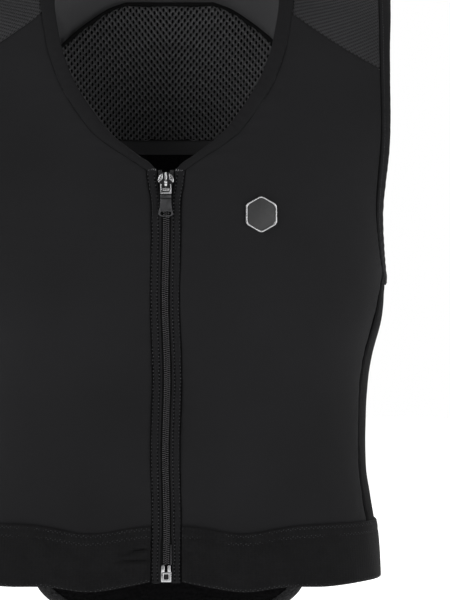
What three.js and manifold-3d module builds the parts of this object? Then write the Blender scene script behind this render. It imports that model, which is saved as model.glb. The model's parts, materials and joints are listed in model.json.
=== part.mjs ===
import * as THREE from 'three';
import { mergeVertices } from 'three/addons/utils/BufferGeometryUtils.js';
import Module from 'manifold-3d';

// A riding body protector in its worn form: a soft zipped vest with a padded back and a tail.
// Millimetres, +Z up, the front faces -Y, and the wearer's left is +X.
// The origin lies midway between the neck ends of the two shoulder lines.

// Body form
const bodyLength = 570;
const chestHalfWidth = 192;
const frontDepth = 116;
const backDepth = 94;
const sectionPower = 2.5;
const shoulderFall = 0.485;
const shoulderBlend = 50;
const shoulderRise = 78;

// Cloth, bindings and the clearance between neighbours
const clothThickness = 2;
const seamGap = 0.36;
const bindingThickness = 3.6;
const neckBindingWidth = 12;
const armBindingWidth = 11;

// Neck line
const neckHalfWidth = 107;
const neckDrop = 210;
const backNeckDrop = 33;
const backNeckPower = 2.2;

// Armholes: angles are measured round the body from its side
const armTipSpread = THREE.MathUtils.degToRad(33.5);
const armBackSpread = THREE.MathUtils.degToRad(4);
const armBottomDrop = 312;
const armPower = 2.6;

// Seams
const yokeNeckDrop = 73;
const yokeArmBend = THREE.MathUtils.degToRad(12.4);
const yokeSag = 3;
const backYokeHalfWidth = 80;
const backYokeArmBend = THREE.MathUtils.degToRad(9);
const sideSeamSpread = THREE.MathUtils.degToRad(18.5);
const sideSeamBend = THREE.MathUtils.degToRad(69.7);
const sideSeamEase = 60;

// Waist band
const bandHeight = 50;
const bandThickness = 2;
const bandLap = 12;
const bandDip = 7;
const bandPinch = 4;
const bandDipCentre = 66;
const bandDipReach = 32;
const bandPinchReach = 20;

// Back protector, with its lining
const padThickness = 17;
const padHalfWidth = 134;
const padTopDrop = 53;
const tailDrop = 63;
const padClearance = 1.6;
const padEdgeShare = 0.4;
const padEdgePower = 6;
const padEase = 0.6;
const liningThickness = 1.6;
const liningInset = 4;
const meshBottomDrop = 179;
const liningTapeHeight = 14;
const liningClearance = 0.9;

// Zip
const coilWidth = 3.1;
const coilGap = 0.3;
const coilThickness = 2.5;
const coilSpread = 3.3;
const tapeThickness = 1;
const placketHalfWidth = 12.6;
const placketInner = 4.2;
const placketThickness = 1.6;
const placketFlare = 3.9;
const placketClearance = 0.45;
const placketTopOpen = 3.4;
const placketBoxRoom = 0.8;
const zipEndRise = 2;
const zipWave = 0.9;
const zipWaves = 2.5;
const coilSink = 0.35;
const tapeSink = 1.7;
const boxRoomReach = 1.5;

// Slider and pull
const sliderHalfWidth = 6.8;
const sliderLength = 19;
const sliderPlate = 1.3;
const sliderClearance = 0.35;
const rearPlateShare = 0.86;
const sliderRidgeReach = 0.91;
const bridgeWidth = 2.2;
const bridgeWall = 1.25;
const bridgeClearance = 0.3;
const pivotRise = 1.35;
const pivotShift = -1.1;
const pullLength = 28;
const pullHalfWidth = 6.1;
const pullThickness = 1.3;
const pullBar = 0.6;
const pullClearance = 0.45;
const pullSlotHeight = 3.6;
const pullSlotHalfWidth = 4.2;
const pullFootBar = 1.6;

// Box, pin and stops of the zip
const boxHalfWidth = 4.4;
const boxHeight = 14.5;
const boxThickness = 4.6;
const pinWidth = 0.9;
const pinHeight = 17;
const pinThickness = 1.3;
const stopHeight = 3.4;
const stopThickness = 3;

// Badge
const badgeAcross = 81;
const badgeDrop = 252;
const badgeWidth = 27;
const badgeHeight = 32;
const badgeRim = 1.4;
const badgeThickness = 1.3;
const badgeRimRise = 0.5;
const badgeLift = 0.4;
const badgeShoulder = 0.52;

// Steps of each seam; neighbouring panels share them
const steps = {
  lowerSide: 7,
  chest: 3,
  neck: 7,
  yokeFront: 4,
  yokeBack: 4,
  backArm: 12,
  backNeck: 5,
  sideHalf: 3,
  frontAcross: 10,
  band: 4,
  padAcross: 12,
  padRows: 17,
  zip: 20,
  zipTop: 8,
  bridge: 7,
};

// Sections of the body: down as a share of bodyLength, the rest as shares of its three half sizes
const sections = [
  { down: 0.0, half: 1.115, front: 0.6, back: 0.74 },
  { down: 0.12, half: 1.115, front: 0.7, back: 0.88 },
  { down: 0.23, half: 1.112, front: 0.83, back: 0.97 },
  { down: 0.33, half: 1.095, front: 0.93, back: 1.0 },
  { down: 0.44, half: 1.03, front: 1.0, back: 0.96 },
  { down: 0.55, half: 1.0, front: 0.985, back: 0.88 },
  { down: 0.6, half: 0.982, front: 0.96, back: 0.83 },
  { down: 0.655, half: 0.935, front: 0.925, back: 0.79 },
  { down: 0.7, half: 0.915, front: 0.9, back: 0.765 },
  { down: 0.78, half: 0.911, front: 0.865, back: 0.75 },
  { down: 0.83, half: 0.915, front: 0.85, back: 0.765 },
  { down: 0.87, half: 0.93, front: 0.85, back: 0.79 },
  { down: 0.91, half: 0.95, front: 0.86, back: 0.83 },
  { down: 1.0, half: 0.97, front: 0.89, back: 0.9 },
  { down: 1.12, half: 0.98, front: 0.9, back: 0.95 },
];

// Front neck line: down as a share of neckDrop, across from the zip to neckHalfWidth
const neckLine = [
  { down: 0.0, across: 0.978 },
  { down: 0.15, across: 1.0 },
  { down: 0.31, across: 1.02 },
  { down: 0.45, across: 0.972 },
  { down: 0.53, across: 0.928 },
  { down: 0.675, across: 0.79 },
  { down: 0.84, across: 0.525 },
  { down: 0.905, across: 0.335 },
  { down: 0.95, across: 0.17 },
  { down: 1.0, across: 0.0 },
];

// Outline of the back protector: down from its top to the foot of the tail, half width as a share
const padOutline = [
  { down: 0.0, half: 0.27 },
  { down: 0.014, half: 0.43 },
  { down: 0.07, half: 0.75 },
  { down: 0.125, half: 0.9 },
  { down: 0.21, half: 0.94 },
  { down: 0.36, half: 0.92 },
  { down: 0.5, half: 0.88 },
  { down: 0.64, half: 0.87 },
  { down: 0.8, half: 0.97 },
  { down: 0.87, half: 0.99 },
  { down: 0.92, half: 0.91 },
  { down: 0.945, half: 0.8 },
  { down: 0.97, half: 0.6 },
  { down: 0.99, half: 0.36 },
  { down: 1.0, half: 0.18 },
];

// Edge of a binding: across its width, and rise as a share of its thickness
const bindingSection = [
  { across: 0.0, rise: 0.5 },
  { across: 0.3, rise: 0.6 },
  { across: 0.8, rise: 0.47 },
  { across: 1.0, rise: 0.0 },
  { across: 0.8, rise: -0.47 },
  { across: 0.3, rise: -0.6 },
  { across: 0.0, rise: -0.5 },
];

// Pull outline: down as a share of its length below the pivot, half width as a share of its widest
const pullOutline = [
  { down: 0.15, half: 0.52 },
  { down: 0.25, half: 0.4 },
  { down: 0.36, half: 0.37 },
  { down: 0.42, half: 0.52 },
  { down: 0.62, half: 0.68 },
  { down: 0.86, half: 1.0 },
  { down: 0.96, half: 1.0 },
  { down: 1.0, half: 0.88 },
];

// Slider outline: up as a share of half its length, half width as a share of its widest
const sliderOutline = [
  { up: -1.0, half: 0.5 },
  { up: -0.82, half: 0.75 },
  { up: 0.25, half: 1.0 },
  { up: 0.82, half: 1.0 },
  { up: 1.0, half: 0.75 },
];

// Post that joins the slider's plates: up as before, half width as a share of coilSpread
const sliderPost = [
  { up: -0.17, half: 0.2 },
  { up: 0.33, half: 0.55 },
  { up: 0.75, half: 0.72 },
  { up: 0.91, half: 0.5 },
];

const settlePasses = 6;
const neckEase = 1.5;
const front = -1;
const back = 1;
const quarterTurn = Math.PI / 2;
const weldReach = 1e-4;
const { lerp, smoothstep, clamp } = THREE.MathUtils;

// Reads one column of a table as a smooth curve through its rows.
function readCurve(table, key, down) {
  const last = table.length - 2;
  let row = 0;
  while (row < last && down > table[row + 1].down) row += 1;
  const slope = (at) => {
    const before = table[Math.max(at - 1, 0)];
    const after = table[Math.min(at + 1, table.length - 1)];
    return (after[key] - before[key]) / (after.down - before.down);
  };
  const span = table[row + 1].down - table[row].down;
  const share = clamp((down - table[row].down) / span, 0, 1);
  const square = share * share;
  const cube = square * share;
  return (2 * cube - 3 * square + 1) * table[row][key] + (3 * square - 2 * cube) * table[row + 1][key]
    + (cube - 2 * square + share) * span * slope(row) + (cube - square) * span * slope(row + 1);
}

// A list of evenly spaced shares from 0 to 1.
const shares = (count) => Array.from({ length: count + 1 }, (_, index) => index / count);

// Points spaced evenly from one pair of numbers to another.
const between = (start, end, count) => shares(count).map(
  (share) => [lerp(start[0], end[0], share), lerp(start[1], end[1], share)],
);

// Half sizes of the body at a height.
function sectionAt(z) {
  const down = -z / bodyLength;
  return {
    half: chestHalfWidth * readCurve(sections, 'half', down),
    front: frontDepth * readCurve(sections, 'front', down),
    back: backDepth * readCurve(sections, 'back', down),
  };
}

// Height of the shoulder line, which falls to both sides.
const neckPoint = neckHalfWidth - neckBindingWidth;
const ridge = (x) => -shoulderFall * (Math.hypot(x, shoulderBlend) - Math.hypot(neckPoint, shoulderBlend));

// The skin by angle round the body: 0 in front, a quarter turn at the side, half a turn at the back.
function skinByAngle(angle, z) {
  const section = sectionAt(z);
  const across = Math.sin(angle);
  const along = Math.cos(angle);
  const x = Math.sign(across) * section.half * Math.abs(across) ** (2 / sectionPower);
  const rise = clamp((ridge(x) - z) / shoulderRise, 0, 1);
  const closing = Math.sqrt(1 - (1 - rise) ** 2);
  const depth = along > 0 ? -section.front : section.back;
  return new THREE.Vector3(x, depth * closing * Math.abs(along) ** (2 / sectionPower), z);
}

// The fall from the shoulder line by turn: round for a quarter turn, then straight down.
function fallAt(turn) {
  const size = Math.abs(turn);
  return shoulderRise * (size < quarterTurn ? 1 - Math.cos(size) : 1 + size - quarterTurn);
}

// The skin over the shoulder: turn is 0 on the shoulder line, below 0 in front and above 0 behind.
function skinByTurn(x, turn) {
  const z = ridge(x) - fallAt(turn);
  const section = sectionAt(z);
  const depth = turn < 0 ? section.front : section.back;
  const round = (1 - Math.min(Math.abs(x / section.half), 1) ** sectionPower) ** (1 / sectionPower);
  return new THREE.Vector3(x, depth * round * Math.sin(clamp(turn, -quarterTurn, quarterTurn)), z);
}

// A point of the skin moved out along the normal, from either way of placing it.
function offsetSkin(skin, first, second, offset, fine) {
  const point = skin(first, second);
  const alongFirst = skin(first + fine[0], second).sub(skin(first - fine[0], second));
  const alongSecond = skin(first, second + fine[1]).sub(skin(first, second - fine[1]));
  const normal = alongFirst.cross(alongSecond).normalize();
  if (normal.dot(new THREE.Vector3(point.x, point.y, Math.max(point.z, -shoulderRise) + shoulderRise)) < 0) {
    normal.negate();
  }
  return { point: point.addScaledVector(normal, offset), normal };
}
const fineAngle = 1e-4;
const fineLength = 0.05;
const byAngle = (angle, z, offset) => offsetSkin(skinByAngle, angle, z, offset, [fineAngle, fineLength]);
const byTurn = (x, turn, offset) => offsetSkin(skinByTurn, x, turn, offset, [fineLength, fineAngle]);

// The two ways of placing a spot, which is given by x, z and front or back.
function angleOf([x, z, face]) {
  const share = Math.min(Math.abs(x) / sectionAt(z).half, 1);
  const angle = Math.asin(share ** (sectionPower / 2));
  return (x < 0 ? -1 : 1) * (face === front ? angle : Math.PI - angle);
}
function turnOf([x, z, face]) {
  const share = Math.max((ridge(x) - z) / shoulderRise, 0);
  return face * (share < 1 ? Math.acos(1 - share) : quarterTurn + share - 1);
}

// A spot on the skin: over the shoulder it is placed by turn, and elsewhere by angle.
function spotAt(spot, offset) {
  const turn = turnOf(spot);
  if (Math.abs(turn) < quarterTurn / 2) return byTurn(spot[0], turn, offset);
  return byAngle(angleOf(spot), spot[1], offset);
}

// Closes a grid of outer points and a grid of inner points into one body.
function closedSheet(outer, inner) {
  const rows = outer.length;
  const columns = outer[0].length;
  const points = [...outer.flat(), ...inner.flat()];
  const outerAt = (row, column) => row * columns + column;
  const innerAt = (row, column) => (rows + row) * columns + column;
  const cell = (at, row, column) => [
    at(row, column), at(row, column + 1), at(row + 1, column + 1), at(row + 1, column),
  ];
  const triangles = [];
  const quad = (a, b, c, d) => triangles.push(a, b, c, a, c, d);
  const wall = (start, end) => quad(outerAt(...start), outerAt(...end), innerAt(...end), innerAt(...start));
  for (let row = 0; row < rows - 1; row += 1) {
    for (let column = 0; column < columns - 1; column += 1) {
      const [a, b, c, d] = cell(outerAt, row, column);
      const [e, f, g, h] = cell(innerAt, row, column);
      quad(a, b, c, d);
      quad(e, h, g, f);
    }
  }
  for (let row = 0; row < rows - 1; row += 1) {
    wall([row, 0], [row + 1, 0]);
    wall([row + 1, columns - 1], [row, columns - 1]);
  }
  for (let column = 0; column < columns - 1; column += 1) {
    wall([0, column + 1], [0, column]);
    wall([rows - 1, column], [rows - 1, column + 1]);
  }
  return facingOut(points, triangles);
}

// Closes a row of equal rings into one body; the rings join end to end, or get flat ends.
function closedTube(rings, joined) {
  const sides = rings[0].length;
  const count = rings.length;
  const triangles = [];
  const at = (ring, side) => (ring % count) * sides + (side % sides);
  for (let ring = 0; ring < (joined ? count : count - 1); ring += 1) {
    for (let side = 0; side < sides; side += 1) {
      triangles.push(at(ring, side), at(ring, side + 1), at(ring + 1, side + 1));
      triangles.push(at(ring, side), at(ring + 1, side + 1), at(ring + 1, side));
    }
  }
  for (let side = 1; !joined && side < sides - 1; side += 1) {
    triangles.push(at(0, 0), at(0, side + 1), at(0, side));
    triangles.push(at(count - 1, 0), at(count - 1, side), at(count - 1, side + 1));
  }
  return facingOut(rings.flat(), triangles);
}

// Makes a geometry whose faces point out, whichever way its rows ran.
function facingOut(points, triangles) {
  let volume = 0;
  for (let index = 0; index < triangles.length; index += 3) {
    const [a, b, c] = [points[triangles[index]], points[triangles[index + 1]], points[triangles[index + 2]]];
    volume += a.dot(b.clone().cross(c));
  }
  const faces = volume < 0 ? triangles.slice().reverse() : triangles;
  const geometry = new THREE.BufferGeometry();
  geometry.setAttribute('position', new THREE.Float32BufferAttribute(points.flatMap((p) => p.toArray()), 3));
  geometry.setIndex(faces);
  geometry.computeVertexNormals();
  return geometry;
}

// Fills four edges, each a list of number pairs, with a grid of pairs.
function fillEdges({ left, right, bottom, top }) {
  const rows = left.length - 1;
  const columns = bottom.length - 1;
  return left.map((leftPair, row) => bottom.map((bottomPair, column) => {
    const up = row / rows;
    const over = column / columns;
    return [0, 1].map((axis) => lerp(leftPair[axis], right[row][axis], over)
      + lerp(bottomPair[axis], top[column][axis], up)
      - lerp(lerp(left[0][axis], right[0][axis], over), lerp(left[rows][axis], right[rows][axis], over), up));
  }));
}

// Draws the rim of a grid in from its seams by half the seam gap.
function drawIn(grid) {
  const amount = seamGap / 2;
  const lastRow = grid.length - 1;
  const lastColumn = grid[0].length - 1;
  const step = (from, to) => to.clone().sub(from).setLength(amount);
  return grid.map((line, row) => line.map((point, column) => {
    const moved = point.clone();
    if (row === 0) moved.add(step(point, grid[1][column]));
    if (row === lastRow) moved.add(step(point, grid[lastRow - 1][column]));
    if (column === 0) moved.add(step(point, line[1]));
    if (column === lastColumn) moved.add(step(point, line[lastColumn - 1]));
    return moved;
  }));
}

// A cloth panel from a grid of pairs, placed on the skin and mirrored to its side.
function clothPanel(pairs, place, side) {
  const layer = (offset) => drawIn(pairs.map((line) => line.map(([first, second]) => {
    const { point } = place(first, second, offset);
    return point.multiply(new THREE.Vector3(side, 1, 1));
  })));
  return closedSheet(layer(0), layer(-clothThickness));
}

// Heights that the seams share
const placketTopHalf = placketHalfWidth + placketFlare;
const shoulderNeckX = lerp(placketTopHalf, neckHalfWidth, neckLine[0].across);
const neckTop = ridge(shoulderNeckX);
const neckBottom = neckTop - neckDrop;
const bandTop = bandHeight + zipEndRise - bodyLength;
const panelHem = bandTop - bandLap;
const zipBottom = bandTop - bandHeight + zipEndRise;
const zipLength = neckBottom - zipBottom;

// Sideways wave of the closed zip, which dies out at both ends.
function waveAt(z) {
  const share = clamp((neckBottom - z) / zipLength, 0, 1);
  return zipWave * Math.sin(share * zipWaves * 2 * Math.PI) * Math.sin(share * Math.PI);
}

// Edges of the placket, which opens round the slider at the top and round the box at the foot.
const sliderFoot = neckBottom - sliderLength - coilSpread;
const topShare = (z) => smoothstep(z, sliderFoot - sliderLength / 2, neckBottom);
const placketOuterAt = (z) => placketHalfWidth + placketFlare * topShare(z);
const boxRoomFrom = zipBottom + boxHeight + pinHeight;
const boxShare = (z) => 1 - smoothstep(z, boxRoomFrom, boxRoomFrom + pinHeight * (boxRoomReach - 1));
const placketInnerAt = (z) => placketInner + placketTopOpen * topShare(z) + placketBoxRoom * boxShare(z);

// Neck seam on one side, from the zip up to the shoulder and on to the middle of the back.
function neckSpot(down) {
  const x = lerp(placketTopHalf, neckHalfWidth, readCurve(neckLine, 'across', down));
  return [x, lerp(neckTop, neckBottom, down), front];
}
function backNeckSpot(x) {
  const rise = (x / shoulderNeckX) ** backNeckPower;
  return [x, neckTop - backNeckDrop * (1 - rise), back];
}

// Finds the spot of a seam at a turn over the shoulder, where the seam is given by height.
function spotAtTurn(seamAt, start, turn) {
  let spot = start;
  for (let pass = 0; pass < settlePasses; pass += 1) spot = seamAt(ridge(spot[0]) - fallAt(turn));
  return spot;
}
const turnsBetween = (start, end, count) => shares(count).map((share) => lerp(start, end, share));

const yokeNeckShare = yokeNeckDrop / neckDrop;
const yokeNeckTurn = turnOf(neckSpot(yokeNeckShare));
const neckSpotAtHeight = (z) => neckSpot((neckTop - z) / neckDrop);
const neckSeam = {
  chest: shares(steps.neck).map((share) => neckSpot(1 - (1 - yokeNeckShare) * share ** neckEase)),
  yoke: [
    ...turnsBetween(yokeNeckTurn, 0, steps.yokeFront).map(
      (turn) => spotAtTurn(neckSpotAtHeight, neckSpot(yokeNeckShare), turn)),
    ...shares(steps.yokeBack).slice(1).map(
      (share) => backNeckSpot(lerp(shoulderNeckX, backYokeHalfWidth, share ** neckEase))),
  ],
  back: shares(steps.backNeck).map((share) => backNeckSpot(backYokeHalfWidth * (1 - share))),
};

// Armhole seam by height, and by bend: 0 at the shoulder and a quarter turn under the arm.
const armTipX = sectionAt(-shoulderRise / 2).half * Math.cos(armTipSpread) ** (2 / sectionPower);
const armTop = ridge(armTipX);
function armSpotAtHeight(z, face) {
  const share = clamp((armTop - z) / (armTop + armBottomDrop), 0, 1);
  const wider = face === back ? armBackSpread * 4 * share * (1 - share) : 0;
  const spread = armTipSpread * (1 - share ** armPower) ** (1 / armPower) + wider;
  return [sectionAt(z).half * Math.cos(spread) ** (2 / sectionPower), z, face];
}
function armSpot(bend, face) {
  const down = Math.sin(bend) ** (2 / armPower);
  return armSpotAtHeight(lerp(armTop, -armBottomDrop, down), face);
}
function armSpots(start, end, count, face) {
  return turnsBetween(start, end, count).map((bend) => armSpot(bend, face));
}
function armYokeSpots(bend, count, face) {
  const end = armSpot(bend, face);
  const seamAt = (z) => armSpotAtHeight(z, face);
  return turnsBetween(turnOf(end), 0, count).map((turn) => spotAtTurn(seamAt, end, turn));
}
const armSeam = {
  yokeFront: armYokeSpots(yokeArmBend, steps.yokeFront, front),
  yokeBack: armYokeSpots(backYokeArmBend, steps.yokeBack, back).reverse(),
  front: armSpots(sideSeamBend, yokeArmBend, steps.chest + steps.neck, front),
  back: armSpots(sideSeamBend, backYokeArmBend, steps.backArm, back),
  underFront: armSpots(sideSeamBend, quarterTurn, steps.sideHalf, front),
  underBack: armSpots(quarterTurn, sideSeamBend, steps.sideHalf, back),
};
const anglePair = (spot) => [angleOf(spot), spot[1]];
const turnPair = (spot) => [spot[0], turnOf(spot)];

// Yoke seams, from the neck to the armhole.
function yokeSeam(start, end, sag) {
  return shares(steps.frontAcross).map((share) => [
    lerp(start[0], end[0], share),
    lerp(start[1], end[1], share) - sag * Math.sin(share * Math.PI),
    start[2],
  ]);
}
const yokeFrontSeam = yokeSeam(neckSeam.chest.at(-1), armSeam.yokeFront[0], yokeSag);
const yokeBackSeam = yokeSeam(neckSeam.yoke.at(-1), armSeam.yokeBack.at(-1), 0);

// Side seams: pairs of angle and height from the hem to the armhole.
function sideSeam(face) {
  const [topAngle, topZ] = anglePair(armSpot(sideSeamBend, face));
  const topSpread = Math.abs(quarterTurn - topAngle);
  return shares(steps.lowerSide).map((share) => {
    const z = lerp(panelHem, topZ, share);
    const spread = lerp(topSpread, sideSeamSpread, smoothstep(topZ - z, 0, sideSeamEase));
    return [quarterTurn + face * spread, z];
  });
}
const sideSeams = { front: sideSeam(front), back: sideSeam(back) };

// Front panel: the chest from the zip to the side seam and armhole, up to the yoke.
function frontPanel(side) {
  const inner = shares(steps.lowerSide + steps.chest).map((share) => {
    const z = lerp(panelHem, neckBottom, share);
    return anglePair([placketOuterAt(z) + side * waveAt(z), z, front]);
  });
  const outer = [...sideSeams.front, ...armSeam.front.slice(1).map(anglePair)];
  const left = [...inner, ...neckSeam.chest.slice(1).map(anglePair)];
  return clothPanel(fillEdges({
    left,
    right: outer,
    bottom: between(left[0], outer[0], steps.frontAcross),
    top: yokeFrontSeam.map(anglePair),
  }), byAngle, side);
}

// Yoke: over the shoulder from the front seam to the back one.
function shoulderYoke(side) {
  return clothPanel(fillEdges({
    left: neckSeam.yoke.map(turnPair),
    right: [...armSeam.yokeFront, ...armSeam.yokeBack.slice(1)].map(turnPair),
    bottom: yokeFrontSeam.map(turnPair),
    top: yokeBackSeam.map(turnPair),
  }), byTurn, side);
}

// Side panel: under the arm, from the hem to the armhole.
function sidePanel(side) {
  const top = [...armSeam.underFront.map(anglePair), ...armSeam.underBack.slice(1).map(anglePair)];
  return clothPanel(fillEdges({
    left: sideSeams.front,
    right: sideSeams.back,
    bottom: between(sideSeams.front[0], sideSeams.back[0], steps.sideHalf * 2),
    top,
  }), byAngle, side);
}

// Back panel: from one side seam and armhole to the other, up to the neck and the yokes.
function backPanel() {
  const mirrored = ([angle, z]) => [2 * Math.PI - angle, z];
  const right = [...sideSeams.back, ...armSeam.back.slice(1).map(anglePair)];
  const halfTop = [...yokeBackSeam.slice().reverse(), ...neckSeam.back.slice(1, -1)].map(anglePair);
  const middle = [Math.PI, neckSeam.back.at(-1)[1]];
  const top = [...halfTop, middle, ...halfTop.map(mirrored).reverse()];
  const bottom = between(right[0], mirrored(right[0]), top.length - 1);
  return clothPanel(fillEdges({ left: right, right: right.map(mirrored), bottom, top }), byAngle, 1);
}

// A binding along a seam: its section is set across the seam, towards the opening.
function binding(spots, width, joined, opening) {
  const centre = -clothThickness / 2;
  const frames = spots.map(([x, z, face]) => {
    const placed = spotAt([Math.abs(x), z, face], 0);
    const mirror = new THREE.Vector3(x < 0 ? -1 : 1, 1, 1);
    return { point: placed.point.multiply(mirror), normal: placed.normal.multiply(mirror) };
  });
  const count = frames.length;
  const rings = frames.map(({ point, normal }, index) => {
    const before = joined ? (index + count - 1) % count : Math.max(index - 1, 0);
    const after = joined ? (index + 1) % count : Math.min(index + 1, count - 1);
    const along = frames[after].point.clone().sub(frames[before].point);
    const across = along.cross(normal).normalize();
    if (across.dot(opening(point).sub(point)) < 0) across.negate();
    return bindingSection.map((corner) => point.clone()
      .addScaledVector(across, seamGap / 2 + corner.across * width)
      .addScaledVector(normal, centre + corner.rise * bindingThickness));
  });
  return closedTube(rings, joined);
}

function neckBinding() {
  const half = [...neckSeam.chest, ...neckSeam.yoke.slice(1), ...neckSeam.back.slice(1)];
  const mirrored = half.slice(0, -1).reverse().map(([x, z, face]) => [-x, z, face]);
  const opening = (point) => new THREE.Vector3(0, point.y, lerp(neckTop, point.z, 0.5));
  return binding([...half, ...mirrored], neckBindingWidth, false, opening);
}

function armholeBinding(side) {
  const loop = [
    ...armSeam.front,
    ...armSeam.yokeFront.slice(1),
    ...armSeam.yokeBack.slice(1),
    ...armSeam.back.slice(0, -1).reverse(),
    ...armSeam.underBack.slice(0, -1).reverse(),
    ...armSeam.underFront.slice(1, -1).reverse(),
  ].map(([x, z, face]) => [side * x, z, face]);
  const middle = new THREE.Vector3(side * chestHalfWidth, 0, (armTop - armBottomDrop) / 2);
  return binding(loop, armBindingWidth, true, () => middle.clone());
}

// Waist band: an elastic ring over the hems of the panels, open at the zip.
function bandEdge(angle, share) {
  const x = skinByAngle(angle, bandTop).x;
  const inFront = Math.cos(angle) > 0 ? 1 : 0;
  const dip = bandDip * Math.exp(-(((Math.abs(x) - bandDipCentre) / bandDipReach) ** 2)) * inFront;
  const pinch = bandPinch * Math.exp(-((x / bandPinchReach) ** 2)) * inFront;
  return bandTop - dip - share * (bandHeight - pinch);
}

function waistBand() {
  const startX = placketOuterAt(bandTop) + zipWave / 2 + seamGap;
  const start = angleOf([startX, panelHem, front]);
  const frontEnd = sideSeams.front[0][0];
  const backStart = sideSeams.back[0][0];
  const run = (from, to, count) => shares(count).slice(1).map((share) => lerp(from, to, share));
  const half = [
    start,
    ...run(start, frontEnd, steps.frontAcross),
    ...run(frontEnd, backStart, steps.sideHalf * 2),
    ...run(backStart, Math.PI, steps.frontAcross + steps.backNeck),
  ];
  const angles = [...half, ...half.slice(0, -1).reverse().map((angle) => 2 * Math.PI - angle)];
  const layer = (offset) => shares(steps.band).map((share) => angles.map(
    (angle) => byAngle(angle, bandEdge(angle, share), offset).point,
  ));
  return closedSheet(layer(seamGap + bandThickness), layer(seamGap));
}

// Back protector: thick in the middle and thinner along its rim, with a rounded tail.
const padLength = bodyLength + tailDrop - padTopDrop;
const padHalfAt = (z) => padHalfWidth * readCurve(padOutline, 'half', (-z - padTopDrop) / padLength);
function padDepthAt(over, z) {
  const down = (-z - padTopDrop) / padLength;
  const rim = (1 - Math.abs(over) ** padEdgePower) * (1 - Math.abs(2 * down - 1) ** (2 * padEdgePower));
  return padThickness * lerp(padEdgeShare, 1, clamp(rim, 0, 1));
}
const padOuter = clothThickness + padClearance;
function padPoint(over, z, depth) {
  const angle = Math.PI - Math.sign(over) * Math.abs(angleOf([Math.abs(over) * padHalfAt(z), z, front]));
  return byAngle(angle, z, -padOuter - depth).point;
}
const acrossShares = shares(steps.padAcross).map((share) => 2 * share - 1);

const padHeights = shares(steps.padRows).map((share) => {
  const eased = (1 - Math.cos(share * Math.PI)) / 2;
  return -padTopDrop - padLength * lerp(share, eased, padEase);
});

function backProtector() {
  const layer = (depthAt) => padHeights.map(
    (z) => acrossShares.map((over) => padPoint(over, z, depthAt(over, z))),
  );
  return closedSheet(layer(() => 0), layer(padDepthAt));
}

// A point over the flat faces of the protector's inner side, between its rows and columns.
function overPad(over, z, extra) {
  const row = clamp(padHeights.findIndex((height) => height <= z), 1, padHeights.length - 1);
  const column = clamp(acrossShares.findIndex((share) => share >= over), 1, acrossShares.length - 1);
  const [near, far] = [acrossShares[column - 1], acrossShares[column]];
  const along = (height) => padPoint(near, height, padDepthAt(near, height) + extra)
    .lerp(padPoint(far, height, padDepthAt(far, height) + extra), (over - near) / (far - near));
  const [upper, lower] = [padHeights[row - 1], padHeights[row]];
  return along(upper).lerp(along(lower), (upper - z) / (upper - lower));
}

// A lining piece on the inner face of the protector, between two heights.
function padLining(top, bottom) {
  const heights = [top, ...padHeights.filter((z) => z < top - seamGap && z > bottom + seamGap), bottom];
  const reach = 1 - liningInset / padHalfWidth;
  const overs = acrossShares.map((over) => clamp(over, -reach, reach));
  const layer = (extra) => heights.map((z) => overs.map((over) => overPad(over, z, liningClearance + extra)));
  return closedSheet(layer(0), layer(liningThickness));
}

// A strip of the zip on one side, between two distances from its middle line; all strips share heights.
const zipHeights = [
  ...shares(steps.zipTop).map((share) => lerp(neckBottom, sliderFoot, share)),
  ...shares(steps.zip).slice(1).map((share) => lerp(sliderFoot, zipBottom, share)),
];
function zipStrip(side, near, far, rear, thickness, top, bottom) {
  const heights = [top, ...zipHeights.filter((z) => z < top - seamGap && z > bottom + seamGap), bottom];
  const layer = (offset) => heights.map((z) => [near(z), far(z)].map((across) => {
    const x = waveAt(z) + side * across;
    return byAngle(angleOf([x, z, front]), z, offset).point;
  }));
  return closedSheet(layer(rear + thickness), layer(rear));
}
const coilCentre = -coilSink;
const coilRear = coilCentre - coilThickness / 2;
const tapeRear = -tapeSink;
const placketRear = tapeRear + tapeThickness + coilGap;
const coilInnerAt = (z) => coilGap / 2 + coilSpread * smoothstep(z, sliderFoot, neckBottom);
const coilOuterAt = (z) => coilInnerAt(z) + coilWidth;
const clothEdgeAt = (z) => placketOuterAt(z) - placketClearance;
const coilBottom = zipBottom + boxHeight + coilGap;
const coilTop = neckBottom - stopHeight - coilGap;

const placketTop = neckBottom - seamGap;
const placketBottom = zipBottom - zipEndRise / 2;

function zipCoil(side) {
  return zipStrip(side, coilInnerAt, coilOuterAt, coilRear, coilThickness, coilTop, coilBottom);
}
function zipTape(side) {
  const innerAt = (z) => coilOuterAt(z) + coilGap;
  return zipStrip(side, innerAt, clothEdgeAt, tapeRear, tapeThickness, neckBottom, coilBottom);
}
function zipPlacket(side) {
  const [top, bottom] = [placketTop, placketBottom];
  return zipStrip(side, placketInnerAt, clothEdgeAt, placketRear, placketThickness, top, bottom);
}

// A frame lying on the skin at a spot: X across, Z up along the cloth, -Y out of it.
function frameAt(spot, offset) {
  const { point, normal } = spotAt(spot, offset);
  const inward = normal.clone().negate();
  const across = new THREE.Vector3().crossVectors(inward, new THREE.Vector3(0, 0, 1)).normalize();
  const up = new THREE.Vector3().crossVectors(across, inward).normalize();
  return new THREE.Matrix4().makeBasis(across, inward, up).setPosition(point);
}

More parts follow.
